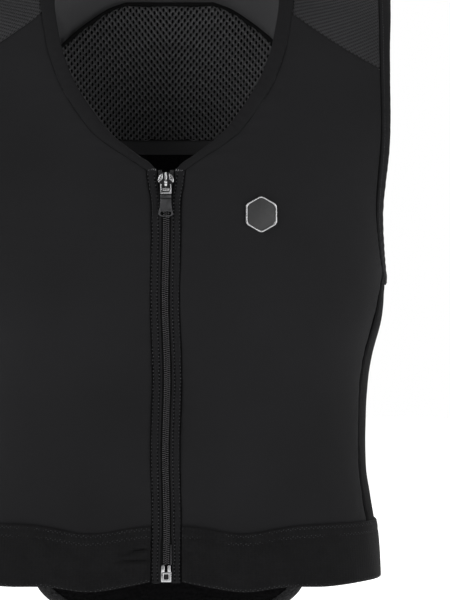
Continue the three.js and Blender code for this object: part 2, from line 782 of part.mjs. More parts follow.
// An outline in X and Z, pushed forward from rear by thickness.
function plate(outline, rear, thickness, holes = []) {
  const shape = new THREE.Shape(outline.map(([x, z]) => new THREE.Vector2(x, z)));
  holes.forEach((hole) => shape.holes.push(new THREE.Path(hole.map(([x, z]) => new THREE.Vector2(x, z)))));
  return new THREE.ExtrudeGeometry(shape, { depth: thickness, bevelEnabled: false })
    .applyMatrix4(new THREE.Matrix4().makeRotationX(quarterTurn))
    .translate(0, -rear, 0);
}
const rectangle = (halfWidth, bottom, top) => [[-halfWidth, bottom], [halfWidth, bottom], [halfWidth, top],
  [-halfWidth, top]];
const symmetric = (right) => [...right, ...right.slice().reverse().map(([x, z]) => [-x, z])];

const wasm = await Module();
wasm.setup();

// Joins closed geometries into one body.
function joinSolids(geometries) {
  const solids = geometries.map((geometry) => {
    const bare = geometry.clone();
    bare.deleteAttribute('normal');
    bare.deleteAttribute('uv');
    const merged = mergeVertices(bare, weldReach);
    return new wasm.Manifold(new wasm.Mesh({
      numProp: 3,
      vertProperties: new Float32Array(merged.attributes.position.array),
      triVerts: new Uint32Array(merged.index.array),
    }));
  });
  const { vertProperties, triVerts } = solids.reduce((sum, solid) => sum.add(solid)).getMesh();
  const geometry = new THREE.BufferGeometry();
  geometry.setAttribute('position', new THREE.Float32BufferAttribute(vertProperties, 3));
  geometry.setIndex(Array.from(triVerts));
  geometry.computeVertexNormals();
  return geometry;
}

// Slider: two plates joined by a post, with an arched bridge that holds the pull.
const sliderTop = sliderLength / 2;
const sliderZ = neckBottom - stopHeight / 2 - coilGap - sliderTop;
const plateRear = placketRear + placketThickness + sliderClearance;
const plateFront = plateRear + sliderPlate;
const rearPlateFront = tapeRear - sliderClearance;
const bridgeInner = pullBar * Math.SQRT2 + bridgeClearance;
const bridgeOuter = bridgeInner + bridgeWall;
const pivotHeight = plateFront + pivotRise;

function sliderBridge() {
  const arch = new THREE.Shape();
  arch.moveTo(bridgeOuter, -sliderPlate / 2);
  arch.lineTo(bridgeOuter, pivotRise);
  arch.absarc(0, pivotRise, bridgeOuter, 0, Math.PI, false);
  arch.lineTo(-bridgeOuter, -sliderPlate / 2);
  const gap = new THREE.Path();
  gap.moveTo(bridgeInner, 0);
  gap.lineTo(bridgeInner, pivotRise);
  gap.absarc(0, pivotRise, bridgeInner, 0, Math.PI, false);
  gap.lineTo(-bridgeInner, 0);
  arch.holes.push(gap);
  const turn = new THREE.Matrix4().makeBasis(
    new THREE.Vector3(0, 0, 1), new THREE.Vector3(0, -1, 0), new THREE.Vector3(1, 0, 0));
  const settings = { depth: bridgeWidth, bevelEnabled: false, curveSegments: steps.bridge };
  return new THREE.ExtrudeGeometry(arch, settings)
    .applyMatrix4(turn)
    .translate(-bridgeWidth / 2, -plateFront, pivotShift);
}

function zipSlider() {
  const outline = symmetric(sliderOutline.map(({ up, half }) => [half * sliderHalfWidth, up * sliderTop]));
  const post = symmetric(sliderPost.map(({ up, half }) => [half * coilSpread, up * sliderTop]));
  const ridgeFoot = pivotShift + (bridgeInner + bridgeOuter) / 2;
  const ridgeOutline = rectangle(bridgeWidth / 2, ridgeFoot, sliderTop * sliderRidgeReach);
  const rearOutline = outline.map(([x, z]) => [x * rearPlateShare, z]);
  return joinSolids([
    plate(outline, plateRear, sliderPlate),
    plate(rearOutline, rearPlateFront - sliderPlate, sliderPlate),
    plate(post, rearPlateFront - sliderPlate / 2, plateRear - rearPlateFront + sliderPlate),
    plate(ridgeOutline, plateRear + sliderPlate / 2, sliderPlate),
    sliderBridge(),
  ]).applyMatrix4(frameAt([0, sliderZ, front], 0));
}

// Pull: an eye round the bridge, a neck, and a flared body with a slot, hanging from the pivot.
function zipPull() {
  const eyeHalf = bridgeWidth / 2 + pullClearance;
  const rimHalf = eyeHalf + pullBar * 2;
  const eyeFoot = bridgeOuter + pullClearance * 2;
  const outline = symmetric([
    ...pullOutline.map(({ down, half }) => [half * pullHalfWidth, -down * pullLength]).reverse(),
    [rimHalf, -eyeFoot / 2],
    [rimHalf - pullBar, pullBar],
  ]);
  const slotTop = pullFootBar + pullSlotHeight - pullLength;
  const slot = [...rectangle(pullSlotHalfWidth, pullFootBar - pullLength, slotTop)];
  slot[2][0] -= pullFootBar;
  slot[3][0] += pullFootBar;
  return plate(outline, pivotHeight - pullThickness / 2, pullThickness,
    [rectangle(eyeHalf, -eyeFoot, -pullBar), slot])
    .translate(0, 0, pivotShift)
    .applyMatrix4(frameAt([0, sliderZ, front], 0));
}

// Small hard pieces at the ends of the zip.
function zipBlock(spot, halfWidth, height, rear, thickness) {
  return plate(rectangle(halfWidth, -height / 2, height / 2), rear, thickness).applyMatrix4(frameAt(spot, 0));
}
function zipBox() {
  const spot = [0, zipBottom + boxHeight / 2, front];
  return zipBlock(spot, boxHalfWidth, boxHeight, coilCentre - boxThickness / 2, boxThickness);
}
function zipPin() {
  const spot = [coilWidth + coilGap * 2 + pinWidth / 2, coilBottom + pinHeight / 2, front];
  return zipBlock(spot, pinWidth / 2, pinHeight, placketRear, pinThickness);
}
function zipStop(side) {
  const across = coilInnerAt(neckBottom) + coilWidth / 2;
  const spot = [side * across, neckBottom - stopHeight / 2, front];
  return zipBlock(spot, coilWidth / 2, stopHeight, coilCentre - stopThickness / 2, stopThickness);
}

// Badge: an upright six-sided plate in a raised rim, bare of any sign.
function badgeOutline(inset) {
  const halfWidth = badgeWidth / 2 - inset;
  const halfHeight = badgeHeight / 2 - inset;
  const shoulder = halfHeight * badgeShoulder;
  return [[0, -halfHeight], [halfWidth, -shoulder], [halfWidth, shoulder], [0, halfHeight],
    [-halfWidth, shoulder], [-halfWidth, -shoulder]];
}
const badgeFrame = frameAt([badgeAcross, -badgeDrop, front], 0);
function badgeBase() {
  return plate(badgeOutline(badgeRim + seamGap), badgeLift, badgeThickness).applyMatrix4(badgeFrame);
}
function badgeRimRing() {
  const field = [badgeOutline(badgeRim)];
  return plate(badgeOutline(0), badgeLift, badgeThickness + badgeRimRise, field).applyMatrix4(badgeFrame);
}

// Finishes, with the colours seen in daylight white
function finish(color, roughness, metalness) {
  return new THREE.MeshStandardMaterial({ color, roughness, metalness });
}
const finishes = {
  shell: finish(0x26262a, 0.86, 0),
  yoke: finish(0x323236, 0.9, 0),
  side: finish(0x1b1b1d, 0.9, 0),
  lining: finish(0x2e2e31, 0.92, 0),
  mesh: finish(0x232326, 0.94, 0),
  pad: finish(0x101012, 0.96, 0),
  elastic: finish(0x1d1d1f, 0.88, 0),
  zipCloth: finish(0x1c1c1f, 0.9, 0),
  coil: finish(0x3c3b3e, 0.5, 0),
  metal: finish(0xa9a8aa, 0.28, 1),
  badge: finish(0x18181a, 0.6, 0),
};

const bodyProtector = new THREE.Group();
function add(name, geometry, material) {
  const mesh = new THREE.Mesh(geometry, material);
  mesh.name = name;
  bodyProtector.add(mesh);
}

const sides = [['left', 1], ['right', -1]];
sides.forEach(([label, side]) => {
  add(`front_panel_${label}`, frontPanel(side), finishes.shell);
  add(`shoulder_yoke_${label}`, shoulderYoke(side), finishes.yoke);
  add(`side_panel_${label}`, sidePanel(side), finishes.side);
  add(`armhole_binding_${label}`, armholeBinding(side), finishes.shell);
  add(`zip_placket_${label}`, zipPlacket(side), finishes.zipCloth);
  add(`zip_tape_${label}`, zipTape(side), finishes.zipCloth);
  add(`zip_coil_${label}`, zipCoil(side), finishes.coil);
  add(`zip_top_stop_${label}`, zipStop(side), finishes.metal);
});
add('back_panel', backPanel(), finishes.shell);
add('back_protector', backProtector(), finishes.pad);
add('back_mesh_lining', padLining(-padTopDrop - liningInset, -meshBottomDrop), finishes.mesh);
add('lining_tape', padLining(-meshBottomDrop - seamGap, -meshBottomDrop - liningTapeHeight), finishes.lining);
add('neck_binding', neckBinding(), finishes.shell);
add('waist_band', waistBand(), finishes.elastic);
add('zip_slider', zipSlider(), finishes.metal);
add('zip_pull', zipPull(), finishes.metal);
add('zip_box', zipBox(), finishes.metal);
add('zip_pin', zipPin(), finishes.metal);
add('badge_base', badgeBase(), finishes.badge);
add('badge_rim', badgeRimRing(), finishes.metal);

export default bodyProtector;
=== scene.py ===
import json
import logging
import math
from collections.abc import Callable, Sequence
from dataclasses import dataclass, field
from enum import Enum

import bmesh
import bpy
import numpy as np
from mathutils import Matrix, Vector

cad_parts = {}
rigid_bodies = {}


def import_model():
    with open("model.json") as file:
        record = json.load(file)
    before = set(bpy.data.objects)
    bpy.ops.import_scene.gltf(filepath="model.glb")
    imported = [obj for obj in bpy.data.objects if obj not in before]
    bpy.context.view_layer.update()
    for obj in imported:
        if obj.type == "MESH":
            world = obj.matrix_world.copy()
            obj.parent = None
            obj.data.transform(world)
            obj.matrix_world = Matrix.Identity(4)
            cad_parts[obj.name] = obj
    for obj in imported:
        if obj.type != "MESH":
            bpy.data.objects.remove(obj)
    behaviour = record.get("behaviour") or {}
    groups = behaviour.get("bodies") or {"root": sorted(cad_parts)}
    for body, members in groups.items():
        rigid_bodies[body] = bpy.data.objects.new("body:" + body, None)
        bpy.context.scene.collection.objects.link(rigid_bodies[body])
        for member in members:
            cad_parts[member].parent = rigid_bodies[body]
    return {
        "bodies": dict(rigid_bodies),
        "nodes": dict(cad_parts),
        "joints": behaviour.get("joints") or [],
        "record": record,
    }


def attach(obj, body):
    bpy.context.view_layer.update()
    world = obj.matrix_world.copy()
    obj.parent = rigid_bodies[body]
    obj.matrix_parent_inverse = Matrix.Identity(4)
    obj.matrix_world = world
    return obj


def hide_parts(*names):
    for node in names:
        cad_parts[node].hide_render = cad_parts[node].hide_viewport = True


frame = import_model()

# Looks of a riding body protector in its worn form, laid over its fixed frame.
# Metres, +Z up, the front faces -Y and the wearer's left is +X, as in the frame.

Array = np.ndarray
Edge = Callable[[Array], Array]
Colour = tuple[float, float, float]
Sizes = tuple[float, float, float]

log = logging.getLogger("body_protector")

QUARTER = math.pi / 2
UV_NAME = "UVMap"

# Sections of the body: down as a share of its length, then shares of half width, front and back depth
SECTION_ROWS = (
    (0.0, 1.115, 0.6, 0.74), (0.12, 1.115, 0.7, 0.88), (0.23, 1.112, 0.83, 0.97), (0.33, 1.095, 0.93, 1.0),
    (0.44, 1.03, 1.0, 0.96), (0.55, 1.0, 0.985, 0.88), (0.6, 0.982, 0.96, 0.83), (0.655, 0.935, 0.925, 0.79),
    (0.7, 0.915, 0.9, 0.765), (0.78, 0.911, 0.865, 0.75), (0.83, 0.915, 0.85, 0.765), (0.87, 0.93, 0.85, 0.79),
    (0.91, 0.95, 0.86, 0.83), (1.0, 0.97, 0.89, 0.9), (1.12, 0.98, 0.9, 0.95),
)

# Front neck line: down as a share of its drop, across from the zip to its half width
NECK_ROWS = (
    (0.0, 0.978), (0.15, 1.0), (0.31, 1.02), (0.45, 0.972), (0.53, 0.928), (0.675, 0.79), (0.84, 0.525),
    (0.905, 0.335), (0.95, 0.17), (1.0, 0.0),
)

# Outline of the back pad: down as a share of its length, half width as a share
PAD_ROWS = (
    (0.0, 0.27), (0.014, 0.43), (0.07, 0.75), (0.125, 0.9), (0.21, 0.94), (0.36, 0.92), (0.5, 0.88),
    (0.64, 0.87), (0.8, 0.97), (0.87, 0.99), (0.92, 0.91), (0.945, 0.8), (0.97, 0.6), (0.99, 0.36), (1.0, 0.18),
)

# Section of a binding: across its width, and rise as a share of its thickness
BINDING_ROWS = (
    (0.0, 0.3), (0.025, 0.44), (0.07, 0.52), (0.16, 0.58), (0.32, 0.6), (0.5, 0.58), (0.66, 0.53), (0.8, 0.45),
    (0.91, 0.32), (0.975, 0.15), (1.0, 0.0),
)


class Face(Enum):
    """The two faces of the body."""

    FRONT = -1
    BACK = 1


class Side(Enum):
    """The wearer's two sides, with the sign of X."""

    LEFT = 1
    RIGHT = -1

    @property
    def label(self) -> str:
        """The side's name as the frame's nodes use it."""
        return self.name.lower()


class Body(Enum):
    """Bodies of the frame."""

    VEST = "vest"
    PULL = "pull"


class Slot(Enum):
    """Material slots of the record."""

    SHELL = "shell_cloth"
    YOKE = "yoke_cloth"
    SIDE = "side_cloth"
    LINING = "lining_cloth"
    MESH = "air_mesh"
    PAD = "pad_cover"
    ELASTIC = "elastic"
    ZIP = "zip_cloth"
    COIL = "zip_coil"
    METAL = "zip_metal"
    BADGE = "badge_plate"


def lerp(start: Array | float, end: Array | float, share: Array | float) -> Array:
    """Goes from start to end by one or many shares, 0 being the start and 1 the end."""
    return start + (end - start) * np.asarray(share, float)


def smooth(value: Array | float, low: float, high: float) -> Array:
    """Shares that rise smoothly from 0 to 1 while the value goes from low to high."""
    share = np.clip((np.asarray(value, float) - low) / (high - low), 0, 1)
    return share * share * (3 - 2 * share)


def bell(distance: Array, reach: float) -> Array:
    """A soft hump: 1 at no distance, fading out by about twice the reach."""
    return np.exp(-((distance / reach) ** 2))


def read_rows(rows: Sequence[tuple[float, ...]], column: int, down: Array | float) -> Array:
    """Reads one column of a table as a smooth curve through its rows.

    Args:
        rows: the table, with the place of each row first.
        column: which column is read.
        down: where it is read.

    Returns:
        The column's values there.
    """
    table = np.asarray(rows, float)
    places, values = table[:, 0], table[:, column]
    before = np.concatenate([[0], np.arange(len(places) - 1)])
    after = np.concatenate([np.arange(1, len(places)), [len(places) - 1]])
    slopes = (values[after] - values[before]) / (places[after] - places[before])
    down = np.asarray(down, float)
    row = np.searchsorted(places[1:-1], down, side="left")
    span = places[row + 1] - places[row]
    share = np.clip((down - places[row]) / span, 0, 1)
    square, cube = share**2, share**3
    return (
        (2 * cube - 3 * square + 1) * values[row]
        + (3 * square - 2 * cube) * values[row + 1]
        + (cube - 2 * square + share) * span * slopes[row]
        + (cube - square) * span * slopes[row + 1]
    )


def unit(vectors: Array) -> Array:
    """Vectors of length 1 in the same directions."""
    return vectors / np.maximum(np.linalg.norm(vectors, axis=-1, keepdims=True), 1e-12)


def ripple(points: Array, size: float, seed: int, waves: int = 9) -> Array:
    """Soft seeded unevenness over points in space, from about -1 to 1.

    Args:
        points: places, the last axis being x, y and z.
        size: the length of one swell in metres.
        seed: picks the pattern.
        waves: how many swells are laid over each other.

    Returns:
        One value for each point.
    """
    made = np.random.default_rng(seed)
    turns = unit(made.normal(size=(waves, 3))) * (math.tau / size) * made.uniform(0.6, 1.4, (waves, 1))
    starts = made.uniform(0, math.tau, waves)
    return np.sin(points @ turns.T + starts).sum(-1) / math.sqrt(waves)


def run_lengths(points: Array) -> Array:
    """Length along a row of points, from its first one."""
    steps = np.linalg.norm(np.diff(points, axis=0), axis=-1)
    return np.concatenate([[0], np.cumsum(steps)])


def rimmed(length: float, step: float, keep: Sequence[float] = ()) -> Array:
    """Shares along an edge: evenly spaced, and close together near both ends, where the seams are.

    Args:
        length: about how long the edge is.
        step: the even spacing.
        keep: shares that have to be among them, such as corners.

    Returns:
        Rising shares from 0 to 1.
    """
    rims = np.array([0.0, 0.0005, 0.001, 0.0016, 0.0024, 0.0036, 0.0055]) / length
    even = np.linspace(0, 1, max(2, round(length / step)) + 1)
    inside = even[(even > rims[-1] * 1.4) & (even < 1 - rims[-1] * 1.4)]
    made = np.concatenate([rims, inside, 1 - rims])
    for share in keep:
        made = made[np.abs(made - share) > 0.3 * step / length]
    return np.unique(np.round(np.concatenate([made, np.array(list(keep), float)]), 9))


@dataclass(frozen=True)
class Torso:
    """The form that the cloth lies on, as the frame's source has it."""

    length: float = 0.570
    chest_half: float = 0.192
    front_depth: float = 0.116
    back_depth: float = 0.094
    power: float = 2.5
    shoulder_fall: float = 0.485
    shoulder_blend: float = 0.050
    shoulder_rise: float = 0.078
    neck_point: float = 0.095
    fine_angle: float = 1e-4
    fine_length: float = 5e-5

    def section(self, z: Array) -> tuple[Array, Array, Array]:
        """Half width, front depth and back depth at heights.

        Args:
            z: heights.

        Returns:
            The three half sizes.
        """
        down = -np.asarray(z, float) / self.length
        return (
            self.chest_half * read_rows(SECTION_ROWS, 1, down),
            self.front_depth * read_rows(SECTION_ROWS, 2, down),
            self.back_depth * read_rows(SECTION_ROWS, 3, down),
        )

    def ridge(self, x: Array) -> Array:
        """Height of the shoulder line at distances from the middle."""
        return -self.shoulder_fall * (
            np.hypot(x, self.shoulder_blend) - math.hypot(self.neck_point, self.shoulder_blend)
        )

    def fall_at(self, turn: Array) -> Array:
        """How far the skin falls below the shoulder line by a turn over it."""
        size = np.abs(turn)
        return self.shoulder_rise * np.where(size < QUARTER, 1 - np.cos(size), 1 + size - QUARTER)

    def skin_by_angle(self, angle: Array, z: Array) -> Array:
        """The skin by angle round the body: 0 in front, half a turn at the back.

        Args:
            angle: angles in radians.
            z: heights.

        Returns:
            Points, with the last axis x, y and z.
        """
        half, front, back = self.section(z)
        across, along = np.sin(angle), np.cos(angle)
        x = np.sign(across) * half * np.abs(across) ** (2 / self.power)
        rise = np.clip((self.ridge(x) - z) / self.shoulder_rise, 0, 1)
        closing = np.sqrt(1 - (1 - rise) ** 2)
        depth = np.where(along > 0, -front, back)
        y = depth * closing * np.abs(along) ** (2 / self.power)
        return np.stack(np.broadcast_arrays(x, y, z), -1)

    def skin_by_turn(self, x: Array, turn: Array) -> Array:
        """The skin over the shoulder: turn is 0 on the shoulder line, below 0 in front.

        Args:
            x: distances from the middle.
            turn: turns in radians.

        Returns:
            Points, with the last axis x, y and z.
        """
        z = self.ridge(x) - self.fall_at(turn)
        half, front, back = self.section(z)
        depth = np.where(np.asarray(turn) < 0, front, back)
        flank = (1 - np.minimum(np.abs(x / half), 1) ** self.power) ** (1 / self.power)
        y = depth * flank * np.sin(np.clip(turn, -QUARTER, QUARTER))
        return np.stack(np.broadcast_arrays(x, y, z), -1)

    def _faced(self, skin: Callable[[Array, Array], Array], first: Array, second: Array,
               fine: tuple[float, float]) -> tuple[Array, Array]:
        """Points of the skin and the directions out of it.

        Args:
            skin: one of the two ways of placing a point.
            first: its first numbers.
            second: its second numbers.
            fine: small steps of the two.

        Returns:
            Points and outward normals.
        """
        point = skin(first, second)
        along_first = skin(first + fine[0], second) - skin(first - fine[0], second)
        along_second = skin(first, second + fine[1]) - skin(first, second - fine[1])
        normal = unit(np.cross(along_first, along_second))
        outward = point.copy()
        outward[..., 2] = np.maximum(point[..., 2], -self.shoulder_rise) + self.shoulder_rise
        wrong = (normal * outward).sum(-1) < 0
        normal[wrong] *= -1
        return point, normal

    def by_angle(self, angle: Array, z: Array) -> tuple[Array, Array]:
        """Points and outward normals by angle and height."""
        angle, z = np.broadcast_arrays(np.asarray(angle, float), np.asarray(z, float))
        return self._faced(self.skin_by_angle, angle, z, (self.fine_angle, self.fine_length))

    def by_turn(self, x: Array, turn: Array) -> tuple[Array, Array]:
        """Points and outward normals by distance from the middle and turn."""
        x, turn = np.broadcast_arrays(np.asarray(x, float), np.asarray(turn, float))
        return self._faced(self.skin_by_turn, x, turn, (self.fine_length, self.fine_angle))

    def angle_of(self, spots: Array) -> Array:
        """Angles round the body of spots, which are given by x, z and face.

        Args:
            spots: rows of x, z and face.

        Returns:
            Angles in radians.
        """
        x, z, face = spots[..., 0], spots[..., 1], spots[..., 2]
        angle = np.arcsin(np.minimum(np.abs(x) / self.section(z)[0], 1) ** (self.power / 2))
        return np.where(x < 0, -1, 1) * np.where(face < 0, angle, math.pi - angle)

    def turn_of(self, spots: Array) -> Array:
        """Turns over the shoulder of spots.

        Args:
            spots: rows of x, z and face.

        Returns:
            Turns in radians, below 0 in front.
        """
        x, z, face = spots[..., 0], spots[..., 1], spots[..., 2]
        share = np.maximum((self.ridge(x) - z) / self.shoulder_rise, 0)
        return face * np.where(share < 1, np.arccos(1 - np.minimum(share, 1)), QUARTER + share - 1)

    def at_spots(self, spots: Array) -> tuple[Array, Array]:
        """Points and outward normals of spots.

        Args:
            spots: rows of x, z and face.

        Returns:
            Points and normals, mirrored where x is below 0.
        """
        held = spots.copy()
        held[..., 0] = np.abs(held[..., 0])
        turn = self.turn_of(held)
        over = self.by_turn(held[..., 0], turn)
        round_ = self.by_angle(self.angle_of(held), held[..., 1])
        near = (np.abs(turn) < QUARTER / 2)[..., None]
        mirror = np.where(spots[..., :1] < 0, -1.0, 1.0) * np.array([1.0, 0, 0]) + np.array([0, 1.0, 1.0])
        return np.where(near, over[0], round_[0]) * mirror, np.where(near, over[1], round_[1]) * mirror

    def frame_on(self, x: float, z: float, face: Face = Face.FRONT, out: float = 0.0) -> Matrix:
        """A frame lying on the skin: X across, Z up along the cloth, -Y out of it.

        Args:
            x: distance from the middle.
            z: height.
            face: front or back.
            out: how far out of the skin it lies.

        Returns:
            The frame's matrix.
        """
        points, normals = self.at_spots(np.array([[x, z, face.value]], float))
        normal = Vector(normals[0])
        across = (-normal).cross(Vector((0, 0, 1))).normalized()
        up = across.cross(-normal).normalized()
        made = Matrix((across, -normal, up)).transposed().to_4x4()
        made.translation = Vector(points[0]) + normal * out
        return made


def spots(x: Array, z: Array, face: Face) -> Array:
    """Rows of x, z and face."""
    return np.stack(np.broadcast_arrays(np.asarray(x, float), np.asarray(z, float), float(face.value)), -1)


@dataclass(frozen=True)
class ZipLine:
    """Where the zip, its plackets and the waist band run."""

    neck_top: float
    neck_drop: float = 0.210
    band_height: float = 0.050
    band_top: float = -0.518
    band_lap: float = 0.012
    end_rise: float = 0.002
    coil_width: float = 0.0031
    coil_gap: float = 0.0003
    coil_spread: float = 0.0033
    slider_length: float = 0.019
    placket_half: float = 0.0126
    placket_inner: float = 0.0042
    placket_flare: float = 0.0039
    placket_open: float = 0.0034
    placket_room: float = 0.0008
    placket_gap: float = 0.00045
    box_height: float = 0.0145
    pin_height: float = 0.017
    wave: float = 0.0009
    waves: float = 2.5

    @property
    def top(self) -> float:
        """Height of the zip's top."""
        return self.neck_top - self.neck_drop

    @property
    def bottom(self) -> float:
        """Height of the zip's foot."""
        return self.band_top - self.band_height + self.end_rise

    @property
    def hem(self) -> float:
        """Height of the panels' hems, under the band."""
        return self.band_top - self.band_lap

    @property
    def slider_foot(self) -> float:
        """Height where the coils have come together."""
        return self.top - self.slider_length - self.coil_spread

    @property
    def coil_foot(self) -> float:
        """Height where the coils end, above the box."""
        return self.bottom + self.box_height + self.coil_gap

    def wave_at(self, z: Array) -> Array:
        """Sideways wave of the closed zip."""
        share = np.clip((self.top - np.asarray(z)) / (self.top - self.bottom), 0, 1)
        return self.wave * np.sin(share * self.waves * math.tau) * np.sin(share * math.pi)

    def outer_at(self, z: Array) -> Array:
        """Outer edge of the placket from the zip's middle line."""
        return self.placket_half + self.placket_flare * smooth(z, self.slider_foot - self.slider_length / 2, self.top)

    def cloth_at(self, z: Array) -> Array:
        """Outer edge of the placket's own cloth, a small gap short of the panel."""
        return self.outer_at(z) - self.placket_gap

    def inner_at(self, z: Array) -> Array:
        """Inner edge of the placket from the zip's middle line.

        Args:
            z: heights.

        Returns:
            Distances.
        """
        opened = smooth(z, self.slider_foot - self.slider_length / 2, self.top)
        start = self.bottom + self.box_height + self.pin_height
        room = 1 - smooth(z, start, start + self.pin_height / 2)
        return self.placket_inner + self.placket_open * opened + self.placket_room * room

    def coil_at(self, z: Array) -> Array:
        """Inner edge of a coil from the zip's middle line."""
        return self.coil_gap / 2 + self.coil_spread * smooth(z, self.slider_foot, self.top)


@dataclass(frozen=True)
class Pattern:
    """The seams of the vest, as edges that neighbouring pieces share."""

    torso: Torso
    neck_half: float = 0.107
    neck_drop: float = 0.210
    back_neck_drop: float = 0.033
    back_neck_power: float = 2.2
    placket_top_half: float = 0.0165
    arm_tip_spread: float = math.radians(33.5)
    arm_back_spread: float = math.radians(4)
    arm_bottom: float = -0.312
    arm_power: float = 2.6
    yoke_neck_drop: float = 0.073
    yoke_arm_bend: float = math.radians(12.4)
    yoke_sag: float = 0.003
    back_yoke_half: float = 0.080
    back_yoke_bend: float = math.radians(9)
    side_spread: float = math.radians(18.5)
    side_bend: float = math.radians(69.7)
    side_ease: float = 0.060
    neck_ease: float = 1.5
    settle: int = 8

    @property
    def shoulder_x(self) -> float:
        """Distance of the neck's end of the shoulder line from the middle."""
        return float(lerp(self.placket_top_half, self.neck_half, NECK_ROWS[0][1]))

    @property
    def neck_top(self) -> float:
        """Height of the neck's end of the shoulder line."""
        return float(self.torso.ridge(self.shoulder_x))

    @property
    def zip_line(self) -> ZipLine:
        """The zip's run below this neck."""
        return ZipLine(self.neck_top, self.neck_drop)

    @property
    def yoke_share(self) -> float:
        """Where the yoke meets the neck line, as a share of its drop."""
        return self.yoke_neck_drop / self.neck_drop

    @property
    def arm_top(self) -> float:
        """Height of the armhole's tip."""
        half = float(self.torso.section(-self.torso.shoulder_rise / 2)[0])
        return float(self.torso.ridge(half * math.cos(self.arm_tip_spread) ** (2 / self.torso.power)))

    def neck(self, down: Array) -> Array:
        """Spots of the front neck line by share of its drop."""
        x = lerp(self.placket_top_half, self.neck_half, read_rows(NECK_ROWS, 1, down))
        return spots(x, lerp(self.neck_top, self.neck_top - self.neck_drop, down), Face.FRONT)

    def back_neck(self, x: Array) -> Array:
        """Spots of the back neck line by distance from the middle."""
        rise = (np.abs(x) / self.shoulder_x) ** self.back_neck_power
        return spots(x, self.neck_top - self.back_neck_drop * (1 - rise), Face.BACK)

    def at_turns(self, seam: Callable[[Array], Array], start: Array, turns: Array) -> Array:
        """Spots of a seam at turns over the shoulder, where the seam is given by height.

        Args:
            seam: gives spots by height.
            start: a first guess.
            turns: the turns.

        Returns:
            Spots at those turns.
        """
        found = np.broadcast_to(start, (*np.shape(turns), 3)).copy()
        for _ in range(self.settle):
            found = seam(self.torso.ridge(found[..., 0]) - self.torso.fall_at(turns))
        return found

    def neck_chest(self, share: Array) -> Array:
        """Neck seam of the front panel, from the zip to the yoke."""
        return self.neck(1 - (1 - self.yoke_share) * np.asarray(share) ** self.neck_ease)

    def neck_at_height(self, z: Array) -> Array:
        """Spots of the front neck line by height."""
        return self.neck((self.neck_top - z) / self.neck_drop)

    def neck_yoke(self, share: Array) -> Array:
        """Neck seam of the yoke, from its front seam to its back one.

        Args:
            share: how far along.

        Returns:
            Spots.
        """
        start = self.neck(np.array(self.yoke_share))
        turns = lerp(float(self.torso.turn_of(start)), 0, np.minimum(share * 2, 1))
        in_front = self.at_turns(self.neck_at_height, start, turns)
        behind = self.back_neck(lerp(self.shoulder_x, self.back_yoke_half,
                                     np.maximum(share * 2 - 1, 0) ** self.neck_ease))
        return np.where((share <= 0.5)[..., None], in_front, behind)

    def neck_back(self, share: Array) -> Array:
        """Neck seam of the back panel, from the yoke to the middle."""
        return self.back_neck(self.back_yoke_half * (1 - np.asarray(share)))

    def arm_at_height(self, z: Array, face: Face) -> Array:
        """Spots of the armhole seam by height.

        Args:
            z: heights.
            face: front or back.

        Returns:
            Spots.
        """
        share = np.clip((self.arm_top - z) / (self.arm_top - self.arm_bottom), 0, 1)
        wider = self.arm_back_spread * 4 * share * (1 - share) if face is Face.BACK else 0.0
        spread = self.arm_tip_spread * (1 - share**self.arm_power) ** (1 / self.arm_power) + wider
        return spots(self.torso.section(z)[0] * np.cos(spread) ** (2 / self.torso.power), z, face)

    def arm(self, bend: Array, face: Face) -> Array:
        """Spots of the armhole seam by bend: 0 at the shoulder, a quarter turn under the arm."""
        down = np.sin(bend) ** (2 / self.arm_power)
        return self.arm_at_height(lerp(self.arm_top, self.arm_bottom, down), face)

    def arm_yoke(self, share: Array) -> Array:
        """Armhole seam of the yoke, from its front seam to its back one.

        Args:
            share: how far along.

        Returns:
            Spots.
        """
        made = []
        for face, bend, part in ((Face.FRONT, self.yoke_arm_bend, np.minimum(share * 2, 1)),
                                 (Face.BACK, self.back_yoke_bend, np.minimum(2 - share * 2, 1))):
            end = self.arm(np.array(bend), face)
            turns = lerp(float(self.torso.turn_of(end)), 0, part)
            made.append(self.at_turns(lambda z, face=face: self.arm_at_height(z, face), end, turns))
        return np.where((share <= 0.5)[..., None], made[0], made[1])

    def yoke_front(self, share: Array) -> Array:
        """Front seam of the yoke, from the neck to the armhole.

        Args:
            share: how far along.

        Returns:
            Spots.
        """
        start, end = self.neck(np.array(self.yoke_share)), self.arm(np.array(self.yoke_arm_bend), Face.FRONT)
        sag = self.yoke_sag * np.sin(np.asarray(share) * math.pi)
        return spots(lerp(start[0], end[0], share), lerp(start[1], end[1], share) - sag, Face.FRONT)

    def yoke_back(self, share: Array) -> Array:
        """Back seam of the yoke, from the neck to the armhole.

        Args:
            share: how far along.

        Returns:
            Spots.
        """
        start = self.back_neck(np.array(self.back_yoke_half))
        end = self.arm(np.array(self.back_yoke_bend), Face.BACK)
        return spots(lerp(start[0], end[0], share), lerp(start[1], end[1], share), Face.BACK)

    def side_seam(self, share: Array, face: Face) -> Array:
        """Side seam from the hem to the armhole.

        Args:
            share: how far up.
            face: the front or the back seam of the side panel.

        Returns:
            Pairs of angle and height.
        """
        top = self.arm(np.array(self.side_bend), face)
        top_spread = abs(QUARTER - float(self.torso.angle_of(top)))
        z = lerp(self.zip_line.hem, top[1], share)
        spread = lerp(top_spread, self.side_spread, smooth(top[1] - z, 0, self.side_ease))
        return np.stack([QUARTER + face.value * spread, z], -1)

    def angle_pairs(self, found: Array) -> Array:
        """Spots as pairs of angle and height."""
        return np.stack([self.torso.angle_of(found), found[..., 1]], -1)

    def turn_pairs(self, found: Array) -> Array:
        """Spots as pairs of distance from the middle and turn."""
        return np.stack([found[..., 0], self.torso.turn_of(found)], -1)


